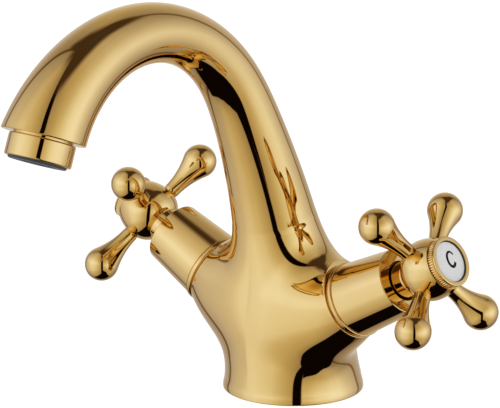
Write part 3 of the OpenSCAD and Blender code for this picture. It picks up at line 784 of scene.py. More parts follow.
@dataclass
class Casting:
    """The cast body: foot, waist, valve arms and swan neck in one seamless skin."""

    neck: SwanNeck
    arms: ValveArms
    # The skin is searched along rays from the centreline: how many stand round it, how far they
    # reach and how often the search halves.
    columns: int = 240
    reach: float = 60.0
    halvings: int = 26
    # Steps between rows of the neck, and of the foot up to foot_rows_end.
    row_step: float = 1.1
    foot_row_step: float = 0.65
    foot_rows_end: float = 14.5
    # The fan spreads from one point of the centreline, between these leans in degrees.
    fan_s: float = 24.0
    fan_low: float = -20.0
    fan_high: float = 50.0
    fan_step: float = 0.7
    # Its topmost rays leave the neck about here, and then the rows fold back to level.
    fan_exit_s: float = 44.0
    fold_end_s: float = 66.0
    fold_count: int = 36
    # The turned foot, with the groove of its seal and the recess for the fixing kit.
    foot_d: float = 51.0
    foot_h: float = 6.0
    foot_edge_r: float = 0.9
    foot_sink: float = 0.3
    foot_blend: float = 0.3
    foot_segments: int = 256
    # The turned foot goes this many times as high as its edge, and then runs on inside the skin.
    foot_lip: float = 1.01
    recess_d: float = 37.0
    recess_h: float = 3.5
    recess_lap: float = 0.5
    recess_edge_r: float = 0.2
    groove_edge_r: float = 0.1
    seal_groove_d: float = 46.1
    seal_groove_inner_d: float = 41.5
    seal_groove_h: float = 1.5
    # Holes in the roof of the recess: two hose inlets and one for the fixing stud.
    hole_steps: int = 64
    inlet_x: float = 10.72
    inlet_d: float = 10.0
    inlet_depth: float = 10.0
    stud_back: float = 11.0
    stud_d: float = 8.0
    stud_depth: float = 14.0
    # The outlet's edge and the socket that takes the aerator.
    outlet_edge_r: float = 0.5
    socket_d: float = 20.1
    socket_depth: float = 8.0
    # Beyond this far to either side there is only the valve arm.
    arm_only_x: float = 20.0

    def field(self, p: np.ndarray) -> np.ndarray:
        """Return the field of foot, body and arms blended together."""
        body = smooth_min(self.neck.field(p), self.arms.field(p), self.arms.blend(p))
        return smooth_min(self.foot_field(p), body, self.foot_blend)

    def foot_field(self, p: np.ndarray) -> np.ndarray:
        """Return a field that is negative inside the foot, which narrows into the body.

        Args:
            p: Points in mm.

        Returns:
            Distances from the foot's skin.
        """
        foot_r, top_r = self.foot_d / 2, self.neck.waist_d / 2 - self.foot_sink
        low = 2 * self.foot_edge_r
        share = np.clip((p[..., 2] - low) / (self.foot_h - low), 0, None)
        # Above the foot it closes fast, or its cone would come out at the back of the leaning stem.
        closing = share * np.maximum(share, 1)
        return np.hypot(p[..., 0], p[..., 1]) - foot_r + (foot_r - top_r) * closing

    def rays(self, lean: np.ndarray, rise: np.ndarray) -> np.ndarray:
        """Return the directions of each row's rays.

        Args:
            lean: Lean of each row's section, in radians.
            rise: How far each row's rays point up along the neck, in radians.

        Returns:
            Unit directions, as rows by columns by 3.
        """
        a = np.arange(self.columns) * math.tau / self.columns
        lean, rise = lean[:, None], rise[:, None]
        flat = np.cos(rise) * np.sin(a)
        return np.stack(
            [
                np.cos(rise) * np.cos(a) + 0 * lean,
                flat * np.cos(lean) - np.sin(rise) * np.sin(lean),
                flat * np.sin(lean) + np.sin(rise) * np.cos(lean),
            ],
            axis=-1,
        )

    def searched_rows(self) -> np.ndarray:
        """Find the skin of the body and arms along rays from the centreline.

        Returns:
            Points of the skin in mm: level rows at the foot, a fan round the valve arms, and rows
            that fold back to level above it.
        """
        foot_s = np.arange(self.foot_edge_r, self.foot_rows_end, self.foot_row_step)
        foot = [(s, 0.0) for s in foot_s]
        fan = [(self.fan_s, rise) for rise in np.arange(self.fan_low, self.fan_high, self.fan_step)]
        exit_r = float(self.neck.neck_r(np.array(self.fan_exit_s)))
        start = self.fan_s + exit_r * math.tan(math.radians(self.fan_high))
        fold = []
        for i in range(self.fold_count + 1):
            share = i / self.fold_count
            rise = self.fan_high * (1 - share)
            exit_s = start + (self.fold_end_s - start) * share
            radius = float(self.neck.neck_r(np.array(exit_s)))
            fold.append((exit_s - radius * math.tan(math.radians(rise)), rise))
        rows = np.array(foot + fan + fold)
        origin = self.neck.centre(rows[:, 0])[:, None, :]
        # The lowest rows stand level, and then follow the lean of the stem.
        level = smooth_step((rows[:, 0] - self.foot_edge_r) / self.foot_h)
        ray = self.rays(self.neck.lean(rows[:, 0]) * level, np.radians(rows[:, 1]))
        near = np.zeros(ray.shape[:2])
        far = np.full(ray.shape[:2], self.reach)
        for _ in range(self.halvings):
            middle = (near + far) / 2
            inside = self.field(origin + middle[..., None] * ray) < 0
            near = np.where(inside, middle, near)
            far = np.where(inside, far, middle)
        return origin + near[..., None] * ray

    def neck_rows(self) -> np.ndarray:
        """Return the round sections of the stem and spout, in mm, down to the outlet's rim.

        Returns:
            Points as rows by columns by 3.
        """
        run = self.neck.length - self.fold_end_s
        end = self.neck.length - self.outlet_edge_r
        s = np.linspace(self.fold_end_s, end, round(run / self.row_step))[1:]
        ray = self.rays(self.neck.section_lean(s), 0 * s)
        return self.neck.centre(s)[:, None, :] + self.neck.body_r(s)[:, None, None] * ray

    def outlet_rows(self) -> np.ndarray:
        """Return the rounded rim, flat face and aerator socket of the outlet, in mm.

        Returns:
            Points as rows by columns by 3.
        """
        end = np.array([self.neck.length])
        lean = float(self.neck.section_lean(end)[0])
        rim_r = self.neck.outlet_d / 2
        edge = self.outlet_edge_r
        turns = np.linspace(0, math.pi / 2, 6)[1:]
        rings = [(rim_r - edge * (1 - math.cos(t)), edge * (1 - math.sin(t))) for t in turns]
        rings += [(self.socket_d / 2, 0.0), (self.socket_d / 2, self.socket_depth)]
        ray = self.rays(np.array([lean]), np.zeros(1))[0]
        inward = np.array([0, math.sin(lean), -math.cos(lean)])
        return np.stack([self.neck.centre(end) + r * ray + depth * inward for r, depth in rings])

    def cut_arm(self, shape: Shape, side: Side, cut_s: float) -> list[bmesh.types.BMVert]:
        """Cut a valve arm off square to its axis.

        Args:
            shape: The casting's shape.
            side: The valve.
            cut_s: Where the cut lies along the valve axis, in mm.

        Returns:
            The vertices of the cut's rim.
        """
        place = self.arms.frame(side)
        near = [v for v in shape.bm.verts if v.co.x * side.value > self.arm_only_x * MM]
        reached = {f for v in near for f in v.link_faces} | {e for v in near for e in v.link_edges}
        cut_through = bmesh.ops.bisect_plane(
            shape.bm,
            geom=list(set(near) | reached),
            plane_co=place @ Vector((0, 0, cut_s)) * MM,
            plane_no=(place.to_3x3() @ Vector((0, 0, 1))).normalized(),
            clear_outer=True,
        )
        edges = [e for e in cut_through["geom_cut"] if isinstance(e, bmesh.types.BMEdge)]
        return list({v for e in edges for v in e.verts})

    def trim_arm(self, shape: Shape, side: Side) -> None:
        """Cut the end of a valve arm flat, round its edge and add the spigot.

        Args:
            shape: The casting's shape.
            side: The valve.
        """
        place = self.arms.frame(side)
        back = place.inverted()

        def polar(vert: bmesh.types.BMVert) -> tuple[float, float]:
            """Return the angle and radius of a vertex round the valve axis."""
            p = back @ (vert.co / MM)
            return math.atan2(p.y, p.x), math.hypot(p.x, p.y)

        edge, end = self.arms.edge_r, self.arms.end
        face_s = end - self.arms.groove_w
        ring = sorted(self.cut_arm(shape, side, face_s - edge), key=lambda v: polar(v)[0])
        angles, rim_r = np.array([polar(v) for v in ring]).T
        spigot_r = np.full(len(ring), self.arms.spigot_d / 2)
        bore_r = np.full(len(ring), self.arms.spigot_bore_d / 2)
        levels = [
            (rim_r - edge * (1 - math.cos(t)), face_s - edge * (1 - math.sin(t)))
            for t in np.linspace(0, math.pi / 2, ARC_STEPS)[1:]
        ]
        for radii, s in [*levels, (spigot_r, face_s), (spigot_r, end), (bore_r, end)]:
            made = []
            for r, angle in zip(radii, angles, strict=True):
                point = place @ Vector((r * math.cos(angle), r * math.sin(angle), s))
                made.append(shape.bm.verts.new(point * MM))
            shape.join(ring, made)
            ring = made

    def add_foot(self, shape: Shape) -> None:
        """Add the turned foot with its seal groove and recess.

        Args:
            shape: The casting's shape.
        """
        edge = self.foot_edge_r
        outline = rounded(
            [
                (self.recess_d / 2, self.recess_h, 0),
                (self.recess_d / 2, 0, self.recess_edge_r),
                (self.seal_groove_inner_d / 2, 0, self.groove_edge_r),
                (self.seal_groove_inner_d / 2, self.seal_groove_h, 0),
                (self.seal_groove_d / 2, self.seal_groove_h, 0),
                (self.seal_groove_d / 2, 0, self.groove_edge_r),
                (self.foot_d / 2, 0, edge),
                (self.foot_d / 2, self.foot_lip * edge, 0),
                (self.foot_d / 2 - edge, self.foot_lip * edge, 0),
                (self.foot_d / 2 - edge, self.foot_h, 0),
                (self.recess_d / 2, self.foot_h, 0),
            ]
        )
        shape.turn(outline, Matrix.Identity(4), self.foot_segments)

    def add_underside(self, shape: Shape) -> None:
        """Add the roof of the foot's recess, with the two hose inlets and the fixing stud hole.

        Args:
            shape: The casting's shape.
        """
        holes = [
            (self.inlet_x, -self.arms.forward, self.inlet_d, self.inlet_depth),
            (-self.inlet_x, -self.arms.forward, self.inlet_d, self.inlet_depth),
            (0.0, self.stud_back, self.stud_d, self.stud_depth),
        ]
        rings = [self.circle(0, 0, self.recess_d / 2 + self.recess_lap, self.recess_h)]
        for x, y, d, depth in holes:
            mouth = self.circle(x, y, d / 2, self.recess_h)
            rings.append(mouth)
            top = mouth + np.array([0, 0, depth])
            walls = shape.grid(np.stack([mouth, top]))
            shape.cap(walls[-1])
        edges = []
        for ring in rings:
            verts = [shape.bm.verts.new(tuple(p)) for p in ring * MM]
            pairs = zip(verts, verts[1:] + verts[:1], strict=True)
            edges += [shape.bm.edges.new(pair) for pair in pairs]
        bmesh.ops.triangle_fill(shape.bm, edges=edges, use_beauty=True, normal=(0, 0, -1))

    def circle(self, x: float, y: float, radius: float, z: float) -> np.ndarray:
        """Return the points of a level circle, in mm."""
        a = np.arange(self.hole_steps) * math.tau / self.hole_steps
        return np.stack([x + radius * np.cos(a), y + radius * np.sin(a), z + 0 * a], axis=-1)

    def build(self) -> None:
        """Build the casting and dress it in gold plate."""
        shape = Shape("casting_skin")
        rows = [self.searched_rows(), self.neck_rows(), self.outlet_rows()]
        made = shape.grid(np.concatenate(rows))
        shape.cap(made[-1])
        for side in Side:
            self.trim_arm(shape, side)
        self.add_foot(shape)
        self.add_underside(shape)
        shape.plated(Body.FAUCET, "body_casting")


@dataclass
class Aerator:
    """The aerator housing that screws into the outlet, with sizes in mm."""

    neck: SwanNeck
    outer_d: float = 22.3
    height: float = 8.0
    gap: float = 0.5
    shoulder_r: float = 0.8
    thread_d: float = 20.0
    thread_h: float = 6.5
    bore_d: float = 17.0
    plate_d: float = 19.7
    plate_sink: float = 1.1
    edge_r: float = 0.6

    def frame(self) -> Matrix:
        """Return the outlet's frame, whose Z runs into the spout from its face, in mm.

        Returns:
            The frame as a matrix.
        """
        centre = Vector(self.neck.centre(np.array([self.neck.length]))[0])
        tilt = Matrix.Rotation(-math.radians(self.neck.outlet_tilt), 4, "X")
        return Matrix.Translation(centre) @ tilt

    def build(self) -> None:
        """Build the housing and dress it in gold plate."""
        outline = rounded(
            [
                (self.bore_d / 2, self.plate_sink - self.height, 0),
                (self.plate_d / 2, self.plate_sink - self.height, 0),
                (self.plate_d / 2, -self.height, BREAK_R),
                (self.outer_d / 2, -self.height, self.edge_r),
                (self.outer_d / 2, -self.gap, self.shoulder_r),
                (self.thread_d / 2, -self.gap, 0),
                (self.thread_d / 2, self.thread_h, 0),
                (self.bore_d / 2, self.thread_h, 0),
            ]
        )
        shape = Shape("aerator_shell")
        shape.turn(outline, self.frame(), TURNED_SEGMENTS)
        shape.plated(Body.FAUCET, "aerator_housing")


# ---------- Valves ----------


@dataclass
class Shroud:
    """The tapering sleeve over a cartridge, with a bead at its base and a closed end, in mm."""

    arms: ValveArms
    side: Side
    length: float = 24.7
    base_d: float = 26.3
    mouth_d: float = 23.3
    bead_d: float = 27.2
    bead_w: float = 2.0
    groove: float = 0.35
    wall: float = 1.1
    web: float = 1.8
    web_bore_d: float = 20.3
    end_h: float = 1.2
    hole_d: float = 14.4
    rim_r: float = 0.4

    @property
    def place(self) -> Matrix:
        """Return the valve's own frame."""
        return self.arms.frame(self.side)

    def build(self) -> None:
        """Build the shroud and dress it in gold plate."""
        foot = self.arms.end
        bead_r, base_r, mouth_r = self.bead_d / 2, self.base_d / 2, self.mouth_d / 2
        base_s, mouth_s = foot + self.bead_w + self.groove, foot + self.length
        outline = rounded(
            [
                (self.web_bore_d / 2, foot, 0),
                (bead_r, foot, self.bead_w / 2),
                (bead_r, foot + self.bead_w, self.bead_w / 2),
                (base_r - self.groove, foot + self.bead_w, BREAK_R),
                (base_r - self.groove, base_s, BREAK_R),
                (base_r, base_s, RIM_BREAK_R),
                (mouth_r, mouth_s, self.rim_r),
                (self.hole_d / 2, mouth_s, RIM_BREAK_R),
                (self.hole_d / 2, mouth_s - self.end_h, 0),
                (mouth_r - self.wall, mouth_s - self.end_h, 0),
                (base_r - self.wall, base_s, 0),
                (base_r - self.wall, foot + self.web, 0),
                (self.web_bore_d / 2, foot + self.web, 0),
            ]
        )
        shape = Shape(f"{self.side.label}_shroud_sleeve")
        shape.turn(outline, self.place, TURNED_SEGMENTS)
        shape.plated(Body.FAUCET, f"{self.side.label}_shroud")


@dataclass
class CrossHandle:
    """A handle: bulb hub on a neck, ball-tipped arms, knurled bezel, white plate and letter."""

    arms: ValveArms
    side: Side
    # How far each cross is turned about its valve axis, in degrees.
    turns: dict[Side, float] = field(default_factory=lambda: {Side.COLD: 43.5, Side.HOT: 40.6})
    # Hub: where its widest ring lies along the valve axis, and the bulb before and behind it.
    hub_s: float = 73.25
    hub_d: float = 21.7
    hub_back: float = 9.2
    hub_front: float = 14.2
    hub_face: float = 7.6
    curve_steps: int = 40
    neck_d: float = 13.0
    neck_fillet: float = 0.7
    neck_edge_r: float = 0.3
    # The bulb's outline leaves the fillet this far on, in radians.
    fillet_run: float = 0.12
    socket_s: float = 58.1
    socket_end: float = 67.1
    screw_bore_d: float = 8.2
    spindle_bore_d: float = 8.0
    thread_d: float = 12.0
    thread_h: float = 2.8
    # Arms: their balls' circle, and the waist that runs from a seat on the hub to the ball.
    ball_circle_r: float = 26.6
    ball_d: float = 12.64
    arm_root_d: float = 5.9
    arm_seat_r: float = 10.3
    arm_stub_d: float = 3.8
    arm_stub_l: float = 3.0
    arm_stub_edge_r: float = 0.2
    arm_seat_run: float = 1.0
    arm_seat_edge_r: float = 0.4
    waist_steps: int = 48
    ball_steps: int = 56
    arm_segments: int = 96
    # Bezel, which screws into the hub's face.
    bezel_d: float = 17.8
    bezel_h: float = 3.1
    bezel_bend_r: float = 0.7
    bezel_bore_d: float = 9.0
    knurl_h: float = 2.3
    knurl_count: int = 62
    knurl_depth: float = 0.3
    knurl_segments: int = 8
    knurl_rows: int = 8
    # The knurled band stands back from the rim, with a groove at its front and a step at its back.
    band_sink: float = 0.05
    band_groove: float = 0.5
    band_groove_s: tuple[float, float] = (-0.05, 0.1)
    band_step: float = 0.6
    # The rows of the band start here over the hub's face, and the knurls between these two ends.
    band_start: float = 0.15
    knurl_ends: tuple[float, float] = (0.1, -0.08)
    thread_gap: float = 0.05
    thread_clear: float = 0.2
    thread_edge_r: float = 0.2
    # Index plate, and the black ring in the gap round it, which is painted shade for that gap.
    plate_d: float = 14.3
    plate_h: float = 1.0
    plate_gap: float = 0.25
    plate_sink: float = 0.8
    plate_crown: float = 0.04
    # The crown starts at this share of the radius and takes this many steps.
    crown_share: float = 0.96
    crown_steps: int = 14
    shade_ring_sink: float = 0.42
    shade_ring_lift: float = 0.05
    shade_ring_gap: float = 0.02
    shade_ring_edge_r: tuple[float, float] = (0.03, 0.06)
    letter_h: float = 6.2
    letter_w: float = 4.7
    letter_stroke: float = 0.96
    letter_rise: float = 0.05
    letter_sink: float = 0.02
    letter_steps: int = 64
    # The letter stands this far right of the plate's centre, and above it.
    letter_place: tuple[float, float] = (0.95, 0.65)
    # The C is open to the right over this angle each way, in degrees. Its stroke starts at a
    # share of the full width at the upper end, and grows by another over part of its length.
    letter_opening: float = 30.0
    letter_start: float = 0.6
    letter_growth: float = 0.5
    letter_grown: float = 2.2

    @property
    def place(self) -> Matrix:
        """Return the valve's own frame."""
        return self.arms.frame(self.side)

    @property
    def face_s(self) -> float:
        """Return where the hub's front face lies along the valve axis."""
        return self.hub_s + self.hub_face

    @property
    def front_s(self) -> float:
        """Return where the bezel's front lies along the valve axis."""
        return self.face_s + self.bezel_h

    @property
    def plate_top(self) -> float:
        """Return where the crown of the index plate lies along the valve axis."""
        return self.front_s - self.plate_sink

    def hub_curve(self, start: float, end: float, reach: float) -> list[Corner]:
        """Return a stretch of the bulb's outline.

        Args:
            start: First angle, in radians from the bulb's widest ring.
            end: Last angle.
            reach: Length of the ellipse along the axis, in mm.

        Returns:
            Points of the outline without corner radii.
        """
        angles = np.linspace(start, end, self.curve_steps)
        radius = self.hub_d / 2
        return [(radius * math.cos(a), self.hub_s + reach * math.sin(a), 0.0) for a in angles]

    def build_hub(self) -> None:
        """Build the hub and the neck on which it turns."""
        neck_r, face_s = self.neck_d / 2, self.face_s
        back = math.acos(neck_r / (self.hub_d / 2))
        front = math.asin(self.hub_face / self.hub_front)
        outline = rounded(
            [
                (self.spindle_bore_d / 2, self.socket_s, 0),
                (neck_r, self.socket_s, self.neck_edge_r),
                (neck_r, self.hub_s - self.hub_back * math.sin(back), self.neck_fillet),
                *self.hub_curve(self.fillet_run - back, 0, self.hub_back),
                *self.hub_curve(0, front, self.hub_front)[1:],
                (self.thread_d / 2, face_s, 0),
                (self.thread_d / 2, face_s - self.thread_h, 0),
                (self.screw_bore_d / 2, face_s - self.thread_h, 0),
                (self.spindle_bore_d / 2, self.socket_end, 0),
            ]
        )
        shape = Shape(f"{self.side.label}_hub_bulb")
        shape.turn(outline, self.place, TURNED_SEGMENTS)
        shape.plated(self.side.body, f"{self.side.label}_handle_hub")

    def arm_frame(self, number: int) -> Matrix:
        """Return the frame of an arm, whose Z runs out from the valve axis, in mm.

        Args:
            number: The arm's number, from 1.

        Returns:
            The frame as a matrix.
        """
        turn = math.radians(self.turns[self.side] + 90 * (number - 1))
        return (
            self.place
            @ Matrix.Translation((0, 0, self.hub_s))
            @ Matrix.Rotation(turn, 4, "Z")
            @ Matrix.Rotation(math.pi / 2, 4, "Y")
        )

    def arm_outline(self) -> Outline:
        """Return an arm's outline: threaded stub, waist and ball in one run, in mm.

        Returns:
            The outline, from the stub's end to the ball's.
        """
        ball_r, root_r, stub_r = self.ball_d / 2, self.arm_root_d / 2, self.arm_stub_d / 2
        start = self.arm_seat_r + self.arm_seat_run
        run = self.ball_circle_r - start
        bend_r = (run**2 - (ball_r - root_r) * (ball_r + root_r)) / (2 * (ball_r - root_r))
        reach = math.atan2(run, root_r + bend_r)
        stub = rounded(
            [
                (0, self.arm_seat_r - self.arm_stub_l, 0),
                (stub_r, self.arm_seat_r - self.arm_stub_l, self.arm_stub_edge_r),
                (stub_r, self.arm_seat_r, 0),
                (root_r, self.arm_seat_r, self.arm_seat_edge_r),
            ]
        )
        waist = [
            (root_r + bend_r - bend_r * math.cos(a), start + bend_r * math.sin(a))
            for a in np.linspace(0, reach, self.waist_steps)
        ]
        ball = [
            (ball_r * math.cos(a), self.ball_circle_r + ball_r * math.sin(a))
            for a in np.linspace(-reach, math.pi / 2, self.ball_steps)[1:-1]
        ]
        return [*stub, *waist, *ball, (0, self.ball_circle_r + ball_r)]

    def build_arms(self) -> None:
        """Build the four arms and dress them in gold plate."""
        for number in range(1, 5):
            shape = Shape(f"{self.side.label}_ball_arm_{number}")
            shape.turn(self.arm_outline(), self.arm_frame(number), self.arm_segments)
            shape.plated(self.side.body, f"{self.side.label}_arm_{number}")

    def build_bezel(self) -> None:
        """Build the knurled bezel that holds the index plate."""
        face_s, front = self.face_s, self.front_s
        seat_s = self.plate_top - self.plate_h
        thread_r, thread_s = self.thread_d / 2 - self.thread_gap, face_s - self.thread_h
        rim_r, bore_r = self.bezel_d / 2, self.bezel_bore_d / 2
        plate_r = self.plate_d / 2 + self.plate_gap
        band_r, band_end = rim_r - self.band_sink, face_s + self.knurl_h
        band_start, band_top = face_s + self.band_start, band_end - BREAK_R
        groove_r = band_r - self.band_groove
        groove_low, groove_high = (band_end + s for s in self.band_groove_s)
        outline = rounded(
            [
                (bore_r, thread_s + self.thread_clear, 0),
                (thread_r, thread_s + self.thread_clear, self.thread_edge_r),
                (thread_r, face_s, 0),
                (band_r - self.band_step, face_s, 0),
                *[(band_r, s, 0) for s in np.linspace(band_start, band_top, self.knurl_rows)],
                (groove_r, groove_low, 0),
                (groove_r, groove_high, 0),
                (rim_r, groove_high, BREAK_R),
                (rim_r, front, self.bezel_bend_r),
                (plate_r, front, BREAK_R),
                (plate_r, seat_s, 0),
                (bore_r, seat_s, 0),
            ]
        )
        low, high = face_s + self.knurl_ends[0], band_end + self.knurl_ends[1]
        flutes = Flutes(self.knurl_count, self.knurl_depth, low, high)
        segments = self.knurl_count * self.knurl_segments
        shape = Shape(f"{self.side.label}_index_bezel")
        shape.turn(outline, self.place, segments, flutes)
        shape.plated(self.side.body, f"{self.side.label}_index_ring")

    def build_plate(self) -> None:
        """Build the white index plate, very slightly crowned."""
        top, radius, crown = self.plate_top, self.plate_d / 2, self.plate_crown
        low = top - self.plate_h
        brim = top - crown
        edge = rounded([(radius, low, 0), (radius, brim, RIM_BREAK_R), (0, brim, 0)])
        dome = [
            (radius * (1 - t) * self.crown_share, top - crown * (1 - t) ** 2)
            for t in np.linspace(0, 0.95, self.crown_steps)
        ]
        outline = [(0, low), (radius, low), *edge[1:-1], *dome, (0, top)]
        shape = Shape(f"{self.side.label}_index_plate")
        shape.turn(outline, self.place, SMALL_SEGMENTS)
        shape.piece(FIRED_ENAMEL, self.side.body, [f"{self.side.label}_index_disc"])

    def build_gap_shade_ring(self) -> None:
        """Build the black ring that lines the bezel round the plate: painted shade for the dark gap
        there.
        """
        low = self.plate_top - self.plate_h + self.shade_ring_lift
        high = self.front_s - self.shade_ring_sink
        inner = self.plate_d / 2 + self.shade_ring_gap
        outer = self.plate_d / 2 + self.plate_gap - self.shade_ring_gap
        outer_r, inner_r = self.shade_ring_edge_r
        outline = rounded(
            [(inner, low, 0), (outer, low, 0), (outer, high, outer_r), (inner, high, inner_r)]
        )
        # Painted shade: a black ring put in the gap round the plate, where the gap shows dark.
        shape = Shape(f"{self.side.label}_plate_gasket")
        shape.turn(outline, self.place, SMALL_SEGMENTS)
        shape.piece(MOULDED_NITRILE, self.side.body)

    def letter_outlines(self) -> list[Outline]:
        """Return the outlines of the letter, C for cold or H for hot, in mm.

        Returns:
            One closed outline for each stroke, as steps right and up from the letter's middle.
        """
        half_w, half_h, stroke = self.letter_w / 2, self.letter_h / 2, self.letter_stroke
        if self.side is Side.COLD:
            opening = math.radians(self.letter_opening)
            angles = np.linspace(opening, math.tau - opening, self.letter_steps)
            swell = smooth_step(np.linspace(0, self.letter_grown, self.letter_steps))
            strokes = stroke * (self.letter_start + self.letter_growth * swell)
            outer = [(half_w * math.cos(a), half_h * math.sin(a)) for a in angles]
            inner = [
                ((half_w - w) * math.cos(a), (half_h - w) * math.sin(a))
                for a, w in zip(angles, strokes, strict=True)
            ]
            return [outer + inner[::-1]]
        inner_x = stroke - half_w
        left = [(-half_w, -half_h), (inner_x, -half_h), (inner_x, half_h), (-half_w, half_h)]
        right = [(-x, y) for x, y in left[::-1]]
        bar = [(inner_x, -stroke / 2), (-inner_x, -stroke / 2)]
        bar += [(x, -y) for x, y in bar[::-1]]
        return [left, right, bar]

    def build_letter(self) -> None:
        """Build the black index letter on the plate, upright when the valve is shut."""
        tilt = math.radians(self.arms.tilt)
        place = self.place
        axis = place.to_3x3() @ Vector((0, 0, 1))
        up = Vector((-self.side.value * math.sin(tilt), 0, math.cos(tilt)))
        right = up.cross(axis)
        low = place @ Vector((0, 0, self.plate_top - self.letter_sink))
        high = low + axis * self.letter_rise
        shape = Shape(f"{self.side.label}_letter")
        shift = right * self.letter_place[0] + up * self.letter_place[1]
        for outline in self.letter_outlines():
            rows = [
                [base + shift + right * x + up * y for x, y in outline] for base in (low, high)
            ]
            made = shape.grid(np.array(rows))
            shape.cap(made[0])
            shape.cap(made[1])
        shape.piece(LETTER_ENAMEL, self.side.body)

    def build(self) -> None:
        """Build every part of the handle."""
        self.build_hub()
        self.build_arms()
        self.build_bezel()
        self.build_plate()
        self.build_gap_shade_ring()
        self.build_letter()


def dress_inner_nodes() -> None:
    """Give each CAD node that stays in view its finish."""
    for name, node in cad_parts.items():
        finish = next((f for end, f in INNER_FINISHES.items() if name.endswith(end)), None)
        if finish is None:
            continue
        node.data.materials.clear()
        node.data.materials.append(finish.material())
        LOG.info("dressed %s in %s", name, finish.name)


# ---------- Studio ----------


@dataclass
class Studio:
    """A product photographer's table: two large softboxes, a dark gap between and a white sweep."""

    # Camera: turn and height in degrees, distance and aim in metres, and lens in millimetres.
    turn: float = 41.11
    height: float = 13.15
    distance: float = 1.0
    aim: tuple[float, float, float] = (-0.01183, -0.01032, 0.06795)
    lens: float = 200.6
    sensor: float = 36.0
    clip: tuple[float, float] = (0.01, 20.0)
    floor_size: float = 6.0
    floor_steps: int = 8
    paper: str = "#B4B4B4"
    paper_roughness: float = 0.9
    # Bounced light keeps white paper white right up to the foot.
    paper_glow: float = 0.86
    # Brightness of the white backdrop, as the camera sees it.
    backdrop: float = 1.1
    # Light of the ceiling as a share of a softbox's.
    ceiling_light: float = 0.065
    # The softboxes fade into the ceiling from this many degrees under their tops to this many
    # over them, and into the dark table over this many degrees each way.
    top_soft: float = 13.0
    top_over: float = 1.5
    low_soft: float = 0.8
    brightest: float = 1.25

    def add_camera(self) -> None:
        """Add the camera in front, on the cold handle's side, a little above the handles."""
        data = bpy.data.cameras.new("studio_camera")
        data.lens = self.lens
        data.sensor_width = self.sensor
        data.clip_start, data.clip_end = self.clip
        camera = bpy.data.objects.new("studio_camera", data)
        a, e = math.radians(self.turn), math.radians(self.height)
        toward = Vector((math.sin(a) * math.cos(e), -math.cos(a) * math.cos(e), math.sin(e)))
        camera.location = Vector(self.aim) + toward * self.distance
        camera.rotation_euler = toward.to_track_quat("Z", "Y").to_euler()
        bpy.context.scene.collection.objects.link(camera)
        bpy.context.scene.camera = camera

    def add_floor(self) -> None:
        """Add the pale sweep that the mixer stands on."""
        bm = bmesh.new()
        steps = self.floor_steps
        bmesh.ops.create_grid(bm, x_segments=steps, y_segments=steps, size=self.floor_size / 2)
        mesh = bpy.data.meshes.new("studio_floor")
        bm.to_mesh(mesh)
        bm.free()
        floor = bpy.data.objects.new("studio_floor", mesh)
        bpy.context.scene.collection.objects.link(floor)
        sweep = bpy.data.materials.new("sweep_paper_matt")
        sweep.use_nodes = True
        tree = sweep.node_tree
        shader = tree.nodes["Principled BSDF"]
        shader.inputs["Roughness"].default_value = self.paper_roughness
        shader.inputs["Base Color"].default_value = linear(self.paper)
        shader.inputs["Emission Color"].default_value = linear("#FFFFFF")
        shader.inputs["Emission Strength"].default_value = self.paper_glow
        mesh.materials.append(sweep)
        floor.visible_glossy = False

    def add_light(self) -> None:
        """Paint the softboxes, the dark gap and the dark ceiling into the world."""
        world = bpy.data.worlds.new("studio_light")
        world.use_nodes = True
        bpy.context.scene.world = world
        tree = world.node_tree
        tree.nodes.clear()
        share, climb = self.directions(tree)
        belt, left, right, on_right, top, low, aside = (
            add_node(tree, "ShaderNodeValToRGB", {"Fac": at}, stops).outputs["Color"]
            for at, stops in (
                (share, self.belt_stops()),
                (climb, self.left_gain_stops()),
                (climb, self.right_gain_stops()),
                (share, self.right_stops()),
                (share, self.top_stops()),
                (share, self.low_stops()),
                (share, self.side_stops()),
            )
        )
        gain = add_node(
            tree, "ShaderNodeMix", {"Factor": on_right, "A": left, "B": right}, data_type="RGBA"
        ).outputs["Result"]
        lit = add_node(tree, "ShaderNodeMath", {0: belt, 1: gain}, operation="MULTIPLY").outputs[0]
        to_ceiling, off_table = (
            self.past_line(tree, climb, line, *span)
            for line, span in (
                (top, (-self.top_soft, self.top_over)),
                (low, (-self.low_soft, self.low_soft)),
            )
        )
        # The softboxes and the gap between them give way to the dim ceiling.
        lit = add_node(
            tree, "ShaderNodeMix", {"Factor": to_ceiling, "A": lit, "B": self.ceiling_light}
        ).outputs["Result"]
        for factor in (off_table, 1 / self.brightest):
            product = add_node(tree, "ShaderNodeMath", {0: lit, 1: factor}, operation="MULTIPLY")
            lit = product.outputs[0]
        warm, cool = (
            add_node(tree, "ShaderNodeValToRGB", {"Fac": lit}, stops).outputs["Color"]
            for stops in (self.warm_stops(), self.cool_stops())
        )
        seen = add_node(tree, "ShaderNodeLightPath").outputs["Is Camera Ray"]
        white = (self.backdrop, self.backdrop, self.backdrop, 1.0)
        shown = warm
        for factor, other in ((aside, cool), (seen, white)):
            shown = add_node(
                tree, "ShaderNodeMix", {"Factor": factor, "A": shown, "B": other}, data_type="RGBA"
            ).outputs["Result"]
        light = add_node(tree, "ShaderNodeBackground", {"Color": shown})
        add_node(tree, "ShaderNodeOutputWorld", {"Surface": light.outputs["Background"]})

    @staticmethod
    def past_line(
        tree: bpy.types.NodeTree,
        climb: bpy.types.NodeSocket,
        line: bpy.types.NodeSocket,
        start: float,
        end: float,
    ) -> bpy.types.NodeSocket:
        """Tell how far each direction is past a line drawn round the room.

        Args:
            tree: The world's node tree.
            climb: Height of the direction, as a share of the half turn.
            line: Height of the line at the direction's bearing, as such a share.
            start: Degrees over the line at which the answer leaves 0.
            end: Degrees over the line at which it reaches 1.

        Returns:
            The socket of the answer, which rises smoothly from 0 to 1.
        """
        over = add_node(tree, "ShaderNodeMath", {0: climb, 1: line}, operation="SUBTRACT")
        return add_node(
            tree,
            "ShaderNodeMapRange",
            {"Value": over.outputs[0], "From Min": start / 180, "From Max": end / 180},
            interpolation_type="SMOOTHSTEP",
        ).outputs["Result"]

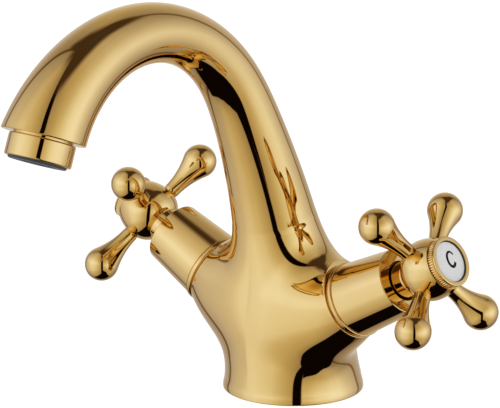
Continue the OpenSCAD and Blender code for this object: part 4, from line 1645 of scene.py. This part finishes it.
    def directions(
        self, tree: bpy.types.NodeTree
    ) -> tuple[bpy.types.NodeSocket, bpy.types.NodeSocket]:
        """Add the nodes that say where in the room each direction points.

        Args:
            tree: The world's node tree.

        Returns:
            The bearing as a share of the full turn, and the height as a share of the half turn.
        """
        place = add_node(tree, "ShaderNodeTexCoord").outputs["Generated"]
        a = math.radians(self.turn)
        right, ahead = (math.cos(a), math.sin(a), 0), (math.sin(a), -math.cos(a), 0)
        sideways, forward = (
            add_node(tree, "ShaderNodeVectorMath", {0: place, 1: way}, operation="DOT_PRODUCT")
            for way in (right, ahead)
        )
        bearing = add_node(
            tree,
            "ShaderNodeMath",
            {0: sideways.outputs["Value"], 1: forward.outputs["Value"]},
            operation="ARCTAN2",
        )
        up = add_node(tree, "ShaderNodeSeparateXYZ", {"Vector": place}).outputs["Z"]
        height = add_node(tree, "ShaderNodeMath", {0: up}, operation="ARCSINE")
        share, climb = (
            add_node(
                tree,
                "ShaderNodeMapRange",
                {"Value": angle.outputs[0], "From Min": -most, "From Max": most},
            ).outputs["Result"]
            for angle, most in ((bearing, math.pi), (height, math.pi / 2))
        )
        return share, climb

    @staticmethod
    def around(stops: Iterable[tuple[float, float]]) -> Stops:
        """Turn bearings from the camera, positive to its right, and values into a grey ramp."""
        return [((bearing + 180) / 360, (value, value, value, 1)) for bearing, value in stops]

    @staticmethod
    def upward(stops: Iterable[tuple[float, float]]) -> Stops:
        """Turn heights over the horizon in degrees, and values, into a grey ramp."""
        return [((height + 90) / 180, (value, value, value, 1)) for height, value in stops]

    def edges(self, stops: Iterable[tuple[float, float]]) -> Stops:
        """Turn bearings and heights in degrees into a ramp of heights."""
        return self.around((bearing, (height + 90) / 180) for bearing, height in stops)

    def right_stops(self) -> Stops:
        """Return how far the right softbox's fading holds at each bearing, and not the left's."""
        return self.around([(0, 0), (4, 1), (126, 1), (142, 0)])

    def side_stops(self) -> Stops:
        """Return how far daylight mixes into the light at each bearing."""
        left = [(-176, 0), (-158, 0.6), (-122, 1), (-50, 0)]
        return self.around([*left, (50, 0), (112, 1), (145, 0.6), (172, 0)])

    def belt_stops(self) -> Stops:
        """Return how bright the room is at each bearing: two softboxes and a pale wall behind.

        Returns:
            The ramp by bearing.
        """
        wall = [(-180, 0.75), (-165, 0.66), (-150, 0.55), (-138, 0.52), (-136, 0.2), (-132, 0.2)]
        left = [(-130, 0.6), (-111, 0.79), (-96, 0.89), (-82, 1.05), (-66, 1.1), (-38, 0.98)]
        gap = [(-2.9, 0.6), (-1.5, 0.0), (11.6, 0.0)]
        right = [(13, 0.76), (22, 0.8), (40, 0.97), (68, 1.1), (84, 1.05), (98, 0.88)]
        right += [(112, 0.74), (127, 0.6), (129, 0.25), (133, 0.25), (135, 0.52), (150, 0.58)]
        return self.around([*wall, *left, *gap, *right, (180, 0.75)])

    def left_gain_stops(self) -> Stops:
        """Return how the left softbox and the wall fade toward the table and the ceiling."""
        low = [(-90, 0.2), (-69, 0.33), (-57, 0.56), (-39, 0.7), (-27, 0.85), (0, 0.93), (8, 1.02)]
        return self.upward([*low, (15, 1.03), (30, 0.88), (45, 0.73), (60, 0.64), (75, 0.52)])

    def right_gain_stops(self) -> Stops:
        """Return how the right softbox fades toward the table and the ceiling."""
        low = [(-90, 0.2), (-60, 0.42), (-51, 0.53), (-33, 0.61), (-22, 0.78), (-9, 0.96)]
        return self.upward([*low, (2, 1.05), (10, 0.97), (20, 0.84), (33, 0.67), (50, 0.56)])

    def top_stops(self) -> Stops:
        """Return how high the softboxes and the wall reach at each bearing.

        Returns:
            The ramp by bearing.
        """
        left = [(-180, 74), (-158, 74), (-144, 71), (-138, 72), (-131, 86), (-14, 88), (-2, 84)]
        right = [(2, 66), (14, 63), (30, 65), (60, 68), (84, 68), (98, 66), (112, 59), (127, 54)]
        return self.edges([*left, *right, (138, 60), (158, 75)])

    def low_stops(self) -> Stops:
        """Return where the dark table ends at each bearing, with a slant at the right softbox.

        Returns:
            The ramp by bearing.
        """
        left = [(-180, -66), (-150, -62), (-135, -61), (-120, -58), (-98, -66), (-80, -69)]
        left += [(-48, -69), (-22, -63), (0, -53), (11.2, -45)]
        right = [(12.6, -31), (20, -36), (38, -43), (53, -53), (68, -60), (100, -61), (180, -66)]
        return self.edges([*left, *right])

    def tinted(self, colours: Iterable[tuple[float, Colour]]) -> Stops:
        """Turn brightnesses and their linear colours into a ramp by brightness."""
        return [(light / self.brightest, (*colour, 1)) for light, colour in colours]

    def warm_stops(self) -> Stops:
        """Return the light's colour in front: tungsten where dim, white in the middle.

        Returns:
            The ramp by brightness.
        """
        return self.tinted(
            [
                (0.0, (0.004, 0.002, 0.001)),
                (0.08, (0.08, 0.05, 0.036)),
                (0.28, (0.28, 0.24, 0.23)),
                (0.53, (0.535, 0.49, 0.41)),
                (0.65, (0.645, 0.62, 0.54)),
                (0.77, (0.765, 0.785, 0.81)),
                (0.93, (0.93, 1.045, 1.35)),
                (1.2, (1.14, 1.4, 2.35)),
            ]
        )

    def cool_stops(self) -> Stops:
        """Return the light's colour at the sides and behind, where daylight mixes in.

        Returns:
            The ramp by brightness.
        """
        return self.tinted(
            [
                (0.0, (0.004, 0.002, 0.001)),
                (0.16, (0.16, 0.115, 0.085)),
                (0.28, (0.285, 0.247, 0.24)),
                (0.41, (0.41, 0.4, 0.46)),
                (0.53, (0.53, 0.54, 0.7)),
                (0.77, (0.765, 0.845, 1.21)),
                (1.04, (1.04, 1.22, 1.98)),
                (1.2, (1.14, 1.4, 2.35)),
            ]
        )

    def build(self) -> None:
        """Set up camera, floor and light, and show colours as they are lit."""
        self.add_camera()
        self.add_floor()
        self.add_light()
        bpy.context.scene.view_settings.view_transform = "Standard"


def main() -> None:
    """Build the mixer's pieces in order, then the studio."""
    logging.basicConfig(level=logging.INFO, format="%(message)s")
    dress_inner_nodes()
    neck, arms = SwanNeck(), ValveArms()
    Casting(neck, arms).build()
    Aerator(neck).build()
    for side in Side:
        Shroud(arms, side).build()
        CrossHandle(arms, side).build()
    Studio().build()


if __name__ == "__main__":
    main()
